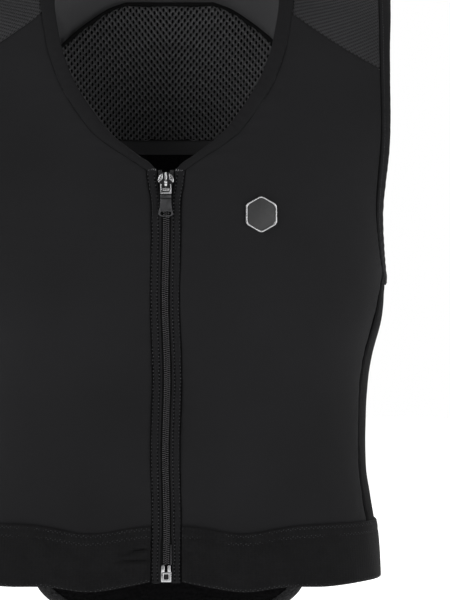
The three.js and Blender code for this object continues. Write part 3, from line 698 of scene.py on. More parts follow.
@dataclass
class Cloth:
    """A grid of points with their outward directions and their places on the flat cloth."""

    points: Array
    normals: Array
    flat: Array

    @property
    def rims(self) -> tuple[Array, Array, Array, Array]:
        """Distances of each point from the left, right, bottom and top edges.

        Returns:
            The four distances, each a grid.
        """
        along = np.linalg.norm(np.diff(self.points, axis=1), axis=-1)
        up = np.linalg.norm(np.diff(self.points, axis=0), axis=-1)
        left = np.concatenate([np.zeros((len(along), 1)), np.cumsum(along, axis=1)], axis=1)
        bottom = np.concatenate([np.zeros((1, up.shape[1])), np.cumsum(up, axis=0)], axis=0)
        return left, left[:, -1:] - left, bottom, bottom[-1:] - bottom

    @property
    def area(self) -> float:
        """Area of the cloth.

        Returns:
            Square metres.
        """
        across = np.diff(self.points, axis=1)[:-1]
        up = np.diff(self.points, axis=0)[:, :-1]
        return float(np.linalg.norm(np.cross(across, up), axis=-1).sum())

    @property
    def cut(self) -> tuple[float, float]:
        """Width and length of the smallest rectangle that the piece was cut from."""
        left, _, bottom, _ = self.rims
        return max(float(left[:, -1].max()), 0.012), max(float(bottom[-1].max()), 0.012)

    def raised(self, height: Array | float) -> "Cloth":
        """The same cloth, moved out along its normals."""
        return Cloth(self.points + self.normals * np.asarray(height)[..., None], self.normals, self.flat)

    def mirrored(self, side: Side) -> "Cloth":
        """The same cloth on the given side of the body."""
        turn = np.array([side.value, 1.0, 1.0])
        return Cloth(self.points * turn, self.normals * turn, self.flat)


def fill_edges(left: Array, right: Array, bottom: Array, top: Array, over: Array, up: Array) -> Array:
    """Fills four edges of number pairs with a grid of pairs.

    Args:
        left: pairs up the left edge.
        right: pairs up the right edge.
        bottom: pairs along the bottom edge.
        top: pairs along the top edge.
        over: shares of the columns.
        up: shares of the rows.

    Returns:
        Rows of columns of pairs.
    """
    across, rise = over[None, :, None], up[:, None, None]
    sides = lerp(left[:, None], right[:, None], across)
    ends = lerp(bottom[None], top[None], rise)
    corners = lerp(lerp(left[0], right[0], across), lerp(left[-1], right[-1], across), rise)
    return sides + ends - corners


def grid_mesh(name: str, points: Array, flat: Array, normals: Array | None = None) -> bpy.types.Mesh:
    """Makes a mesh of a grid of points.

    Args:
        name: its name.
        points: rows of columns of points.
        flat: where each lies on the flat cloth, for the UV map.
        normals: which way its faces point; without them they are set later.

    Returns:
        The mesh.
    """
    rows, columns = points.shape[:2]
    made = bmesh.new()
    bmesh.ops.create_grid(made, x_segments=columns - 1, y_segments=rows - 1, size=1.0)
    mesh = bpy.data.meshes.new(name)
    made.to_mesh(mesh)
    made.free()
    places = np.empty(len(mesh.vertices) * 3)
    mesh.vertices.foreach_get("co", places)
    places = places.reshape(-1, 3)
    low, high = places.min(0), places.max(0)
    column = np.rint((places[:, 0] - low[0]) / (high[0] - low[0]) * (columns - 1)).astype(int)
    row = np.rint((places[:, 1] - low[1]) / (high[1] - low[1]) * (rows - 1)).astype(int)
    mesh.vertices.foreach_set("co", points[row, column].astype(np.float32).ravel())
    corners = np.empty(len(mesh.loops), int)
    mesh.loops.foreach_get("vertex_index", corners)
    layer = mesh.uv_layers.new(name=UV_NAME)
    layer.data.foreach_set("uv", flat[row, column][corners].astype(np.float32).ravel())
    mesh.update()
    if normals is not None:
        middle = mesh.polygons[len(mesh.polygons) // 2]
        wanted = normals[row, column][middle.vertices[0]]
        if Vector(wanted).dot(middle.normal) < 0:
            mesh.flip_normals()
    return mesh


def close_mesh(mesh: bpy.types.Mesh, reach: float = 1e-5) -> bpy.types.Mesh:
    """Merges doubles, fills open ends and turns the faces outwards.

    Args:
        mesh: what is closed.
        reach: how near doubles are.

    Returns:
        The same mesh.
    """
    made = bmesh.new()
    made.from_mesh(mesh)
    bmesh.ops.remove_doubles(made, verts=made.verts, dist=reach)
    open_edges = [edge for edge in made.edges if edge.is_boundary]
    if open_edges:
        bmesh.ops.holes_fill(made, edges=open_edges, sides=0)
    bmesh.ops.recalc_face_normals(made, faces=made.faces)
    made.to_mesh(mesh)
    made.free()
    return mesh


def plate_mesh(name: str, outline: Sequence[tuple[float, float]], thickness: float, round_: float, place: Matrix,
               holes: Sequence[Sequence[tuple[float, float]]] = (), corner: float = 0.0,
               segments: int = 3) -> bpy.types.Mesh:
    """Makes a plate from an outline in X and Z, with rounded edges, and sets it in place.

    Args:
        name: its name.
        outline: its corners, in order.
        thickness: how far it reaches towards -Y from its rear face.
        round_: radius of its edges.
        place: the frame that it is set in.
        holes: outlines of its holes.
        corner: radius of the corners of its outline.
        segments: steps of each rounded edge.

    Returns:
        The mesh.
    """
    made = bmesh.new()
    for loop in (outline, *holes):
        corners = [made.verts.new((x, 0.0, z)) for x, z in loop]
        face = made.faces.new(corners)
        if corner:
            bmesh.ops.bevel(made, geom=list(face.verts), offset=corner, offset_type="OFFSET", segments=4,
                            profile=0.5, affect="VERTICES", material=-1)
    if holes:
        rims = list(made.edges)
        bmesh.ops.delete(made, geom=list(made.faces), context="FACES_ONLY")
        bmesh.ops.triangle_fill(made, use_beauty=True, edges=rims)
    for face in made.faces:
        if face.normal.y > 0:
            face.normal_flip()
    made.normal_update()
    raised = bmesh.ops.extrude_face_region(made, geom=list(made.faces), use_keep_orig=True)
    tops = [part for part in raised["geom"] if isinstance(part, bmesh.types.BMVert)]
    bmesh.ops.translate(made, verts=tops, vec=(0, -thickness, 0))
    bmesh.ops.recalc_face_normals(made, faces=made.faces)
    if round_:
        sharp = [edge for edge in made.edges if edge.is_manifold and edge.calc_face_angle(0) > math.radians(50)]
        bmesh.ops.bevel(made, geom=sharp, offset=round_, offset_type="OFFSET", segments=segments, profile=0.5,
                        affect="EDGES", material=-1)
    mesh = bpy.data.meshes.new(name)
    made.to_mesh(mesh)
    made.free()
    mesh.transform(place)
    return mesh


def joined(name: str, meshes: Sequence[bpy.types.Mesh]) -> bpy.types.Mesh:
    """One mesh of several, which are then removed.

    Args:
        name: its name.
        meshes: what is joined.

    Returns:
        The whole mesh.
    """
    made = bmesh.new()
    for mesh in meshes:
        made.from_mesh(mesh)
        bpy.data.meshes.remove(mesh)
    whole = bpy.data.meshes.new(name)
    made.to_mesh(whole)
    made.free()
    return whole


def finished(mesh: bpy.types.Mesh, index: int) -> bpy.types.Mesh:
    """Gives all of a mesh's faces one of its piece's finishes."""
    mesh.polygons.foreach_set("material_index", np.full(len(mesh.polygons), index))
    return mesh


def copies(name: str, template: bpy.types.Mesh, places: Sequence[Matrix]) -> bpy.types.Mesh:
    """One mesh of many copies of a small shape.

    Args:
        name: its name.
        template: the small shape, which is removed after it.
        places: where each copy goes.

    Returns:
        The mesh.
    """
    corners = np.empty(len(template.vertices) * 3)
    template.vertices.foreach_get("co", corners)
    corners = corners.reshape(-1, 3)
    made = bmesh.new()
    for place in places:
        turned = np.array(place)
        template.vertices.foreach_set("co", (corners @ turned[:3, :3].T + turned[:3, 3]).ravel())
        made.from_mesh(template)
    whole = bpy.data.meshes.new(name)
    made.to_mesh(whole)
    made.free()
    bpy.data.meshes.remove(template)
    return whole


def bead(size: Sizes, around: int = 6, along: int = 4) -> bpy.types.Mesh:
    """A small rounded shape with its poles along X.

    Args:
        size: its full sizes.
        around: faces round it.
        along: faces from pole to pole.

    Returns:
        The mesh.
    """
    made = bmesh.new()
    bmesh.ops.create_uvsphere(made, u_segments=around, v_segments=along, radius=0.5)
    bmesh.ops.rotate(made, verts=made.verts, cent=(0, 0, 0), matrix=Matrix.Rotation(QUARTER, 3, "Y"))
    bmesh.ops.scale(made, verts=made.verts, vec=size)
    mesh = bpy.data.meshes.new("bead")
    made.to_mesh(mesh)
    made.free()
    return mesh


def places_along(points: Array, normals: Array, pitch: float, lean: float = 0.0, swing: bool = False,
                 wander: float = 0.0, seed: int = 1) -> list[Matrix]:
    """Even places along a line on the cloth: X along it, Z out of the cloth.

    Args:
        points: the line.
        normals: directions out of the cloth along it.
        pitch: distance between places.
        lean: how far X turns from the line, in radians.
        swing: whether the lean changes its sign at each place.
        wander: small unevenness of each place.
        seed: picks the unevenness.

    Returns:
        One matrix for each place.
    """
    length = run_lengths(points)
    made = np.random.default_rng(seed)
    found = []
    count = max(1, int(length[-1] / pitch))
    for index, at in enumerate((np.arange(count) + 0.5) * (length[-1] / count)):
        point = Vector([float(np.interp(at, length, points[:, axis])) for axis in range(3)])
        ahead = Vector([float(np.interp(at + pitch / 2, length, points[:, axis])) for axis in range(3)])
        behind = Vector([float(np.interp(at - pitch / 2, length, points[:, axis])) for axis in range(3)])
        normal = Vector([float(np.interp(at, length, normals[:, axis])) for axis in range(3)]).normalized()
        along = (ahead - behind).normalized()
        across = normal.cross(along).normalized()
        turn = lean * (-1 if swing and index % 2 else 1) + float(made.normal(0, 0.05 if wander else 0.0))
        one = along * math.cos(turn) + across * math.sin(turn)
        two = normal.cross(one).normalized()
        place = Matrix((one, two, normal)).transposed().to_4x4()
        place.translation = point + across * float(made.normal(0, wander)) + normal * float(made.normal(0, wander / 3))
        found.append(place)
    return found


def add_piece(mesh: bpy.types.Mesh, materials: Sequence[bpy.types.Material], body: Body = Body.VEST,
              replaces: Sequence[str] = (), sharp: float = 40.0) -> bpy.types.Object:
    """Adds a mesh as a finished piece that rides on a body.

    Args:
        mesh: its shape, in place.
        materials: its finishes.
        body: what it moves with.
        replaces: the frame's nodes that it stands for.
        sharp: angle in degrees past which an edge looks sharp.

    Returns:
        The object.
    """
    mesh.shade_smooth()
    mesh.set_sharp_from_angle(angle=math.radians(sharp))
    piece = bpy.data.objects.new(mesh.name, mesh)
    bpy.context.scene.collection.objects.link(piece)
    for material in materials:
        mesh.materials.append(material)
    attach(piece, body.value)
    if replaces:
        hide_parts(*replaces)
    log.info("%s: %d faces", piece.name, len(mesh.polygons))
    return piece


def thicken(piece: bpy.types.Object, thickness: float, inner: int = 0) -> None:
    """Gives a sheet its thickness, inwards from its outer face.

    Args:
        piece: the sheet.
        thickness: how thick it is.
        inner: how many material slots further the inner face lies.
    """
    wall = piece.modifiers.new("wall", "SOLIDIFY")
    wall.thickness = thickness
    wall.offset = -1
    wall.use_even_offset = False
    wall.material_offset = inner


# Materials


@dataclass
class Tree:
    """Short ways to lay out the nodes of a material or group."""

    tree: bpy.types.NodeTree

    def node(self, kind: str, **settings: object) -> bpy.types.Node:
        """Adds a node and sets its properties.

        Args:
            kind: the node's type.
            settings: its properties.

        Returns:
            The node.
        """
        made = self.tree.nodes.new(kind)
        for key, value in settings.items():
            setattr(made, key, value)
        return made

    def join(self, start: bpy.types.NodeSocket, end: bpy.types.NodeSocket) -> None:
        """Links two sockets."""
        self.tree.links.new(start, end)

    def feed(self, socket: bpy.types.NodeSocket, value: object) -> None:
        """Links a socket's input, or sets it to a plain value."""
        if isinstance(value, bpy.types.NodeSocket):
            self.join(value, socket)
        else:
            socket.default_value = value

    def math(self, operation: str, first: object, second: object = 0.0, third: object = 0.0) -> bpy.types.NodeSocket:
        """A math step, with sockets or numbers as its inputs.

        Args:
            operation: what is done.
            first: first input.
            second: second input.
            third: third input.

        Returns:
            The result's socket.
        """
        made = self.node("ShaderNodeMath", operation=operation)
        for socket, value in zip(made.inputs, (first, second, third)):
            self.feed(socket, value)
        return made.outputs[0]

    def vary(self, value: object, low: float, high: float, to_low: float, to_high: float) -> bpy.types.NodeSocket:
        """Maps a value from one range to another, held within it.

        Args:
            value: what is mapped.
            low: its lowest value.
            high: its highest value.
            to_low: what the lowest becomes.
            to_high: what the highest becomes.

        Returns:
            The result's socket.
        """
        made = self.node("ShaderNodeMapRange", clamp=True)
        for name, given in zip(("Value", "From Min", "From Max", "To Min", "To Max"),
                               (value, low, high, to_low, to_high)):
            self.feed(made.inputs[name], given)
        return made.outputs["Result"]

    def blend(self, share: object, first: object, second: object, way: str = "MIX") -> bpy.types.NodeSocket:
        """Mixes two colours by a share.

        Args:
            share: how much of the second.
            first: first colour.
            second: second colour.
            way: how they are mixed.

        Returns:
            The colour's socket.
        """
        made = self.node("ShaderNodeMix", data_type="RGBA", blend_type=way)
        self.feed(made.inputs[0], share)
        self.feed(made.inputs[6], first)
        self.feed(made.inputs[7], second)
        return made.outputs[2]

    def bump(self, height: bpy.types.NodeSocket, relief: float, shader: bpy.types.Node) -> None:
        """Lets a height shape a shader's surface.

        Args:
            height: what stands out.
            relief: how far, in metres.
            shader: whose surface it is.
        """
        made = self.node("ShaderNodeBump")
        made.inputs["Distance"].default_value = relief
        self.join(height, made.inputs["Height"])
        self.join(made.outputs[0], shader.inputs["Normal"])

    def noise(self, place: object, scale: object, detail: float = 3.0, rough: float = 0.5) -> bpy.types.NodeSocket:
        """Noise over a place, from 0 to 1.

        Args:
            place: where it is read.
            scale: swells to a metre.
            detail: how many finer layers it has.
            rough: how strong those are.

        Returns:
            The value's socket.
        """
        made = self.node("ShaderNodeTexNoise")
        self.feed(made.inputs["Vector"], place)
        self.feed(made.inputs["Scale"], scale)
        made.inputs["Detail"].default_value = detail
        made.inputs["Roughness"].default_value = rough
        return made.outputs["Fac"]


def group(name: str, inputs: dict[str, tuple[str, object]], outputs: Sequence[str],
          lay: Callable[[Tree, dict[str, bpy.types.NodeSocket]], dict[str, bpy.types.NodeSocket]]
          ) -> bpy.types.NodeTree:
    """Builds a shared node group once.

    Args:
        name: its name.
        inputs: name of each input, with its kind and default.
        outputs: names of its outputs, which are all values.
        lay: lays its nodes and returns what feeds each output.

    Returns:
        The group.
    """
    if name in bpy.data.node_groups:
        return bpy.data.node_groups[name]
    made = bpy.data.node_groups.new(name, "ShaderNodeTree")
    for key, (kind, value) in inputs.items():
        socket = made.interface.new_socket(name=key, in_out="INPUT", socket_type=kind)
        if value is not None:
            socket.default_value = value
    for key in outputs:
        made.interface.new_socket(name=key, in_out="OUTPUT", socket_type="NodeSocketFloat")
    tree = Tree(made)
    start, end = tree.node("NodeGroupInput"), tree.node("NodeGroupOutput")
    for key, socket in lay(tree, {key: start.outputs[key] for key in inputs}).items():
        tree.join(socket, end.inputs[key])
    return made


FLOAT, VECTOR = "NodeSocketFloat", "NodeSocketVector"


def weave_group() -> bpy.types.NodeTree:
    """Crossing threads: their height, and which lie lowest, with uneven yarn."""

    def lay(tree: Tree, given: dict[str, bpy.types.NodeSocket]) -> dict[str, bpy.types.NodeSocket]:
        """Lays the threads.

        Args:
            tree: the group's nodes.
            given: its inputs.

        Returns:
            Its outputs.
        """
        wander = tree.noise(given["Place"], given["Across"], 2.0)
        shift = tree.math("MULTIPLY", tree.math("SUBTRACT", wander, 0.5), given["Uneven"])
        split = tree.node("ShaderNodeSeparateXYZ")
        tree.join(given["Place"], split.inputs[0])
        across = tree.math("MULTIPLY", split.outputs[0], given["Across"])
        up = tree.math("MULTIPLY", split.outputs[1], given["Up"])
        slant = tree.math("MULTIPLY", across, given["Slant"])
        lean = tree.math("MULTIPLY", up, given["Lean"])
        one = tree.math("SINE", tree.math("MULTIPLY", tree.math("ADD", tree.math("ADD", across, lean), shift),
                                          math.tau))
        other = tree.math("SINE", tree.math("MULTIPLY", tree.math("ADD", tree.math("ADD", up, slant), shift), math.tau))
        height = tree.math("MULTIPLY", tree.math("ADD", tree.math("ADD", one, other), 2.0), 0.25)
        return {"Height": height, "Low": tree.vary(height, 0.1, 0.55, 1.0, 0.0)}

    return group("weave", {"Place": (VECTOR, None), "Across": (FLOAT, 900.0), "Up": (FLOAT, 900.0),
                           "Slant": (FLOAT, 0.0), "Lean": (FLOAT, 0.0), "Uneven": (FLOAT, 0.3)},
                 ("Height", "Low"), lay)


def drift_group() -> bpy.types.NodeTree:
    """Slow changes of tone over the cloth, with a finer speckle."""

    def lay(tree: Tree, given: dict[str, bpy.types.NodeSocket]) -> dict[str, bpy.types.NodeSocket]:
        """Lays the two noises.

        Args:
            tree: the group's nodes.
            given: its inputs.

        Returns:
            Its outputs.
        """
        slow = tree.noise(given["Place"], given["Slow"], 2.0)
        fine = tree.noise(given["Place"], given["Fine"], 2.0, 0.6)
        return {"Tone": tree.vary(slow, 0.3, 0.7, 0.0, 1.0), "Speckle": tree.vary(fine, 0.35, 0.65, 0.0, 1.0)}

    return group("tone_drift", {"Place": (VECTOR, None), "Slow": (FLOAT, 12.0), "Fine": (FLOAT, 900.0)},
                 ("Tone", "Speckle"), lay)


def scuff_group() -> bpy.types.NodeTree:
    """Fine handling marks on metal and moulded pieces."""

    def lay(tree: Tree, given: dict[str, bpy.types.NodeSocket]) -> dict[str, bpy.types.NodeSocket]:
        """Lays stretched marks and a soft cloud.

        Args:
            tree: the group's nodes.
            given: its inputs.

        Returns:
            Its outputs.
        """
        stretched = tree.node("ShaderNodeMapping")
        tree.join(given["Place"], stretched.inputs["Vector"])
        stretched.inputs["Scale"].default_value = (1.0, 1.0, 0.12)
        marks = tree.noise(stretched.outputs[0], given["Fine"], 4.0, 0.7)
        cloud = tree.noise(given["Place"], given["Slow"], 3.0)
        return {"Marks": tree.vary(marks, 0.42, 0.62, 0.0, 1.0), "Cloud": tree.vary(cloud, 0.3, 0.7, 0.0, 1.0)}

    return group("scuff", {"Place": (VECTOR, None), "Fine": (FLOAT, 2600.0), "Slow": (FLOAT, 260.0)},
                 ("Marks", "Cloud"), lay)


class Place(Enum):
    """What a finish's pattern is laid on."""

    CLOTH = "UV"
    SPACE = "Object"


def placed(tree: Tree, built: bpy.types.NodeTree, place: Place, **values: float) -> bpy.types.Node:
    """Sets a shared group in a material.

    Args:
        tree: the material's nodes.
        built: the group.
        place: what its pattern is laid on.
        values: its inputs.

    Returns:
        The group's node.
    """
    made = tree.node("ShaderNodeGroup", node_tree=built)
    tree.join(tree.node("ShaderNodeTexCoord").outputs[place.value], made.inputs["Place"])
    for key, value in values.items():
        made.inputs[key].default_value = value
    return made


def begun(name: str) -> tuple[bpy.types.Material, Tree, bpy.types.Node]:
    """Starts a material.

    Args:
        name: its name.

    Returns:
        The material, its nodes and its shader.
    """
    material = bpy.data.materials.new(name)
    material.use_nodes = True
    return material, Tree(material.node_tree), material.node_tree.nodes["Principled BSDF"]


def rgba(colour: Colour) -> tuple[float, float, float, float]:
    """A colour with full alpha."""
    return (*colour, 1.0)


@dataclass(frozen=True)
class ClothFinish:
    """Knitted or woven cloth."""

    name: str
    dark: Colour
    light: Colour
    across: float = 1100.0
    up: float = 1100.0
    slant: float = 0.0
    lean: float = 0.0
    uneven: float = 0.35
    shade: float = 0.35
    relief: float = 0.00012
    rough: float = 0.85
    sheen: float = 0.03
    gloss: float = 0.12
    chevron: float = 0.0
    pitch: float = 0.007
    slow: float = 9.0
    fine: float = 1400.0
    speckle: float = 0.3
    place: Place = Place.CLOTH

    def build(self) -> bpy.types.Material:
        """Builds the cloth's material.

        Returns:
            The material.
        """
        material, tree, shader = begun(self.name)
        threads = placed(tree, weave_group(), self.place, Across=self.across, Up=self.up, Slant=self.slant,
                         Lean=self.lean, Uneven=self.uneven)
        drift = placed(tree, drift_group(), Place.SPACE, Slow=self.slow, Fine=self.fine)
        tone = tree.math("ADD", tree.math("MULTIPLY", drift.outputs["Tone"], 1 - self.speckle),
                         tree.math("MULTIPLY", drift.outputs["Speckle"], self.speckle))
        if self.chevron:
            split = tree.node("ShaderNodeSeparateXYZ")
            tree.join(tree.node("ShaderNodeTexCoord").outputs["Object"], split.inputs[0])
            fall = tree.math("MULTIPLY", tree.math("ABSOLUTE", split.outputs[0]), self.chevron)
            turns = tree.math("MULTIPLY", tree.math("SUBTRACT", split.outputs[2], fall), math.tau / self.pitch)
            tone = tree.math("MULTIPLY", tone, tree.vary(tree.math("SINE", turns), -1, 1, 0.3, 1.0))
        colour = tree.blend(tone, rgba(self.dark), rgba(self.light))
        # Painted shade: threads that lie lowest in the weave are darkened towards a quarter of the dark colour, by the
        # share set in shade.
        hollow_shade = tree.math("MULTIPLY", threads.outputs["Low"], self.shade)
        colour = tree.blend(hollow_shade, colour, rgba(tuple(part * 0.25 for part in self.dark)))
        tree.join(colour, shader.inputs["Base Color"])
        tree.join(tree.vary(drift.outputs["Speckle"], 0, 1, self.rough - 0.06, self.rough + 0.06),
                  shader.inputs["Roughness"])
        fluff = tree.math("ADD", threads.outputs["Height"], tree.math("MULTIPLY", drift.outputs["Speckle"], 0.6))
        tree.bump(fluff, self.relief, shader)
        shader.inputs["Specular IOR Level"].default_value = self.gloss
        shader.inputs["Sheen Weight"].default_value = self.sheen
        shader.inputs["Sheen Roughness"].default_value = 0.5
        return material


@dataclass(frozen=True)
class MetalFinish:
    """Plated metal with fine handling marks."""

    name: str
    colour: Colour
    worn: Colour
    rough: float = 0.26
    relief: float = 0.00002

    def build(self) -> bpy.types.Material:
        """Builds the metal's material.

        Returns:
            The material.
        """
        material, tree, shader = begun(self.name)
        marks = placed(tree, scuff_group(), Place.SPACE)
        tree.join(tree.blend(tree.math("MULTIPLY", marks.outputs["Marks"], 0.35), rgba(self.colour), rgba(self.worn)),
                  shader.inputs["Base Color"])
        tree.join(tree.vary(marks.outputs["Cloud"], 0, 1, self.rough - 0.07, self.rough + 0.12),
                  shader.inputs["Roughness"])
        tree.bump(marks.outputs["Marks"], self.relief, shader)
        shader.inputs["Metallic"].default_value = 1.0
        return material


@dataclass(frozen=True)
class MouldedFinish:
    """Moulded nylon or a textured field, with a fine grain."""

    name: str
    dark: Colour
    light: Colour
    grain: float = 1800.0
    relief: float = 0.00005
    rough: float = 0.42
    coat: float = 0.0

    def build(self) -> bpy.types.Material:
        """Builds the moulded material.

        Returns:
            The material.
        """
        material, tree, shader = begun(self.name)
        drift = placed(tree, drift_group(), Place.SPACE, Slow=40.0, Fine=self.grain)
        marks = placed(tree, scuff_group(), Place.SPACE)
        tree.join(tree.blend(drift.outputs["Speckle"], rgba(self.dark), rgba(self.light)), shader.inputs["Base Color"])
        tree.join(tree.vary(marks.outputs["Cloud"], 0, 1, self.rough - 0.08, self.rough + 0.1),
                  shader.inputs["Roughness"])
        tree.bump(drift.outputs["Speckle"], self.relief, shader)
        shader.inputs["Coat Weight"].default_value = self.coat
        return material


@dataclass(frozen=True)
class Finishes:
    """Every material of the vest, built once."""

    shell: bpy.types.Material
    yoke: bpy.types.Material
    side: bpy.types.Material
    lining: bpy.types.Material
    binding: bpy.types.Material
    mesh: bpy.types.Material
    mesh_edge: bpy.types.Material
    strip: bpy.types.Material
    pad: bpy.types.Material
    edging: bpy.types.Material
    band: bpy.types.Material
    zip_cloth: bpy.types.Material
    coil: bpy.types.Material
    metal: bpy.types.Material
    pull: bpy.types.Material
    recess: bpy.types.Material
    field: bpy.types.Material
    thread: bpy.types.Material
    dark_thread: bpy.types.Material
    tack: bpy.types.Material
    zip_tape: bpy.types.Material

    @classmethod
    def made(cls) -> "Finishes":
        """Builds all of them."""
        return cls(
            shell=ClothFinish("stretch_shell", (0.0078, 0.0078, 0.0084), (0.0108, 0.0108, 0.0118), shade=0.2,
                              sheen=0.02).build(),
            yoke=ClothFinish("ribbed_yoke", (0.017, 0.017, 0.018), (0.044, 0.044, 0.0465), across=300, up=300,
                             slant=-1.0, lean=1.0, uneven=0.2, shade=1.0, speckle=0.5, fine=1000,
                             relief=0.0005).build(),
            side=ClothFinish("side_knit", (0.0055, 0.0055, 0.0058), (0.0085, 0.0085, 0.009), across=500, up=700,
                             shade=0.5, sheen=0.0, gloss=0.06).build(),
            lining=ClothFinish("smooth_lining", (0.056, 0.056, 0.058), (0.066, 0.066, 0.069), shade=0.12,
                               sheen=0.03).build(),
            binding=ClothFinish("stretch_binding", (0.0062, 0.0062, 0.0067), (0.0088, 0.0088, 0.0096), shade=0.15,
                                sheen=0.02).build(),
            mesh=ClothFinish("spacer_thread", (0.024, 0.024, 0.025), (0.125, 0.125, 0.13), speckle=0.75,
                             fine=1300, relief=0.0002, chevron=1.33, pitch=0.0068, place=Place.SPACE).build(),
            # mesh_edge: the bound edge's own dark, darkened further to paint the shadow along the pad's rim
            mesh_edge=ClothFinish("mesh_edge_tape", (0.003, 0.003, 0.0032), (0.006, 0.006, 0.0063), gloss=0.08,
                                  sheen=0.0, place=Place.SPACE).build(),
            strip=ClothFinish("lining_strip_cloth", (0.026, 0.026, 0.0275), (0.034, 0.034, 0.0355)).build(),
            pad=ClothFinish("brushed_pad_cover", (0.0006, 0.0006, 0.0008), (0.0052, 0.0050, 0.0056), speckle=0.9,
                            fine=420, uneven=2.0, relief=0.0008, gloss=0.04, sheen=0.01, place=Place.SPACE).build(),
            edging=ClothFinish("pad_edging", (0.004, 0.004, 0.0042), (0.030, 0.030, 0.0315), speckle=0.9, fine=520,
                               relief=0.0004, place=Place.SPACE).build(),
            band=ClothFinish("elastic_knit", (0.0040, 0.0040, 0.0043), (0.0088, 0.0088, 0.0093), across=330, up=620,
                             uneven=1.2, shade=0.3, relief=0.00016, speckle=0.6, slow=70, fine=420, sheen=0.02,
                             gloss=0.08).build(),
            zip_cloth=ClothFinish("zip_placket", (0.0056, 0.0056, 0.0062), (0.0086, 0.0086, 0.0094), across=900,
                                  up=900, shade=0.2).build(),
            coil=MouldedFinish("coil_nylon", (0.046, 0.045, 0.047), (0.086, 0.084, 0.089), coat=0.05).build(),
            metal=MetalFinish("plated_metal", (0.58, 0.58, 0.59), (0.34, 0.34, 0.35)).build(),
            pull=MetalFinish("pull_metal", (0.095, 0.095, 0.099), (0.06, 0.06, 0.0625), rough=0.34).build(),
            # recess: near-black metal that paints the shade in recesses: the slider's and pull's base plates, the box
            # floor and the top stops
            recess=MetalFinish("darkened_metal", (0.035, 0.035, 0.036), (0.016, 0.016, 0.017), rough=0.45).build(),
            field=MouldedFinish("badge_field", (0.008, 0.008, 0.0085), (0.017, 0.017, 0.018), rough=0.5).build(),
            thread=ClothFinish("light_thread", (0.020, 0.020, 0.0215), (0.075, 0.075, 0.079), speckle=0.8,
                               place=Place.SPACE).build(),
            # zip_tape: the tape's own black, darkened further to paint the shade in the channel between placket and
            # coil
            zip_tape=ClothFinish("zip_tape_cloth", (0.0015, 0.0015, 0.0016), (0.0030, 0.0030, 0.0031)).build(),
            tack=ClothFinish("tack_thread", (0.05, 0.05, 0.053), (0.24, 0.24, 0.25), speckle=0.9,
                             place=Place.SPACE).build(),
            # Near-black beads of the placket stitches: painted shade in the needle pits
            dark_thread=ClothFinish("dark_thread", (0.0012, 0.0012, 0.0014), (0.0022, 0.0022, 0.0024), gloss=0.05,
                                    sheen=0.0, place=Place.SPACE).build(),
        )


# Sub-assemblies


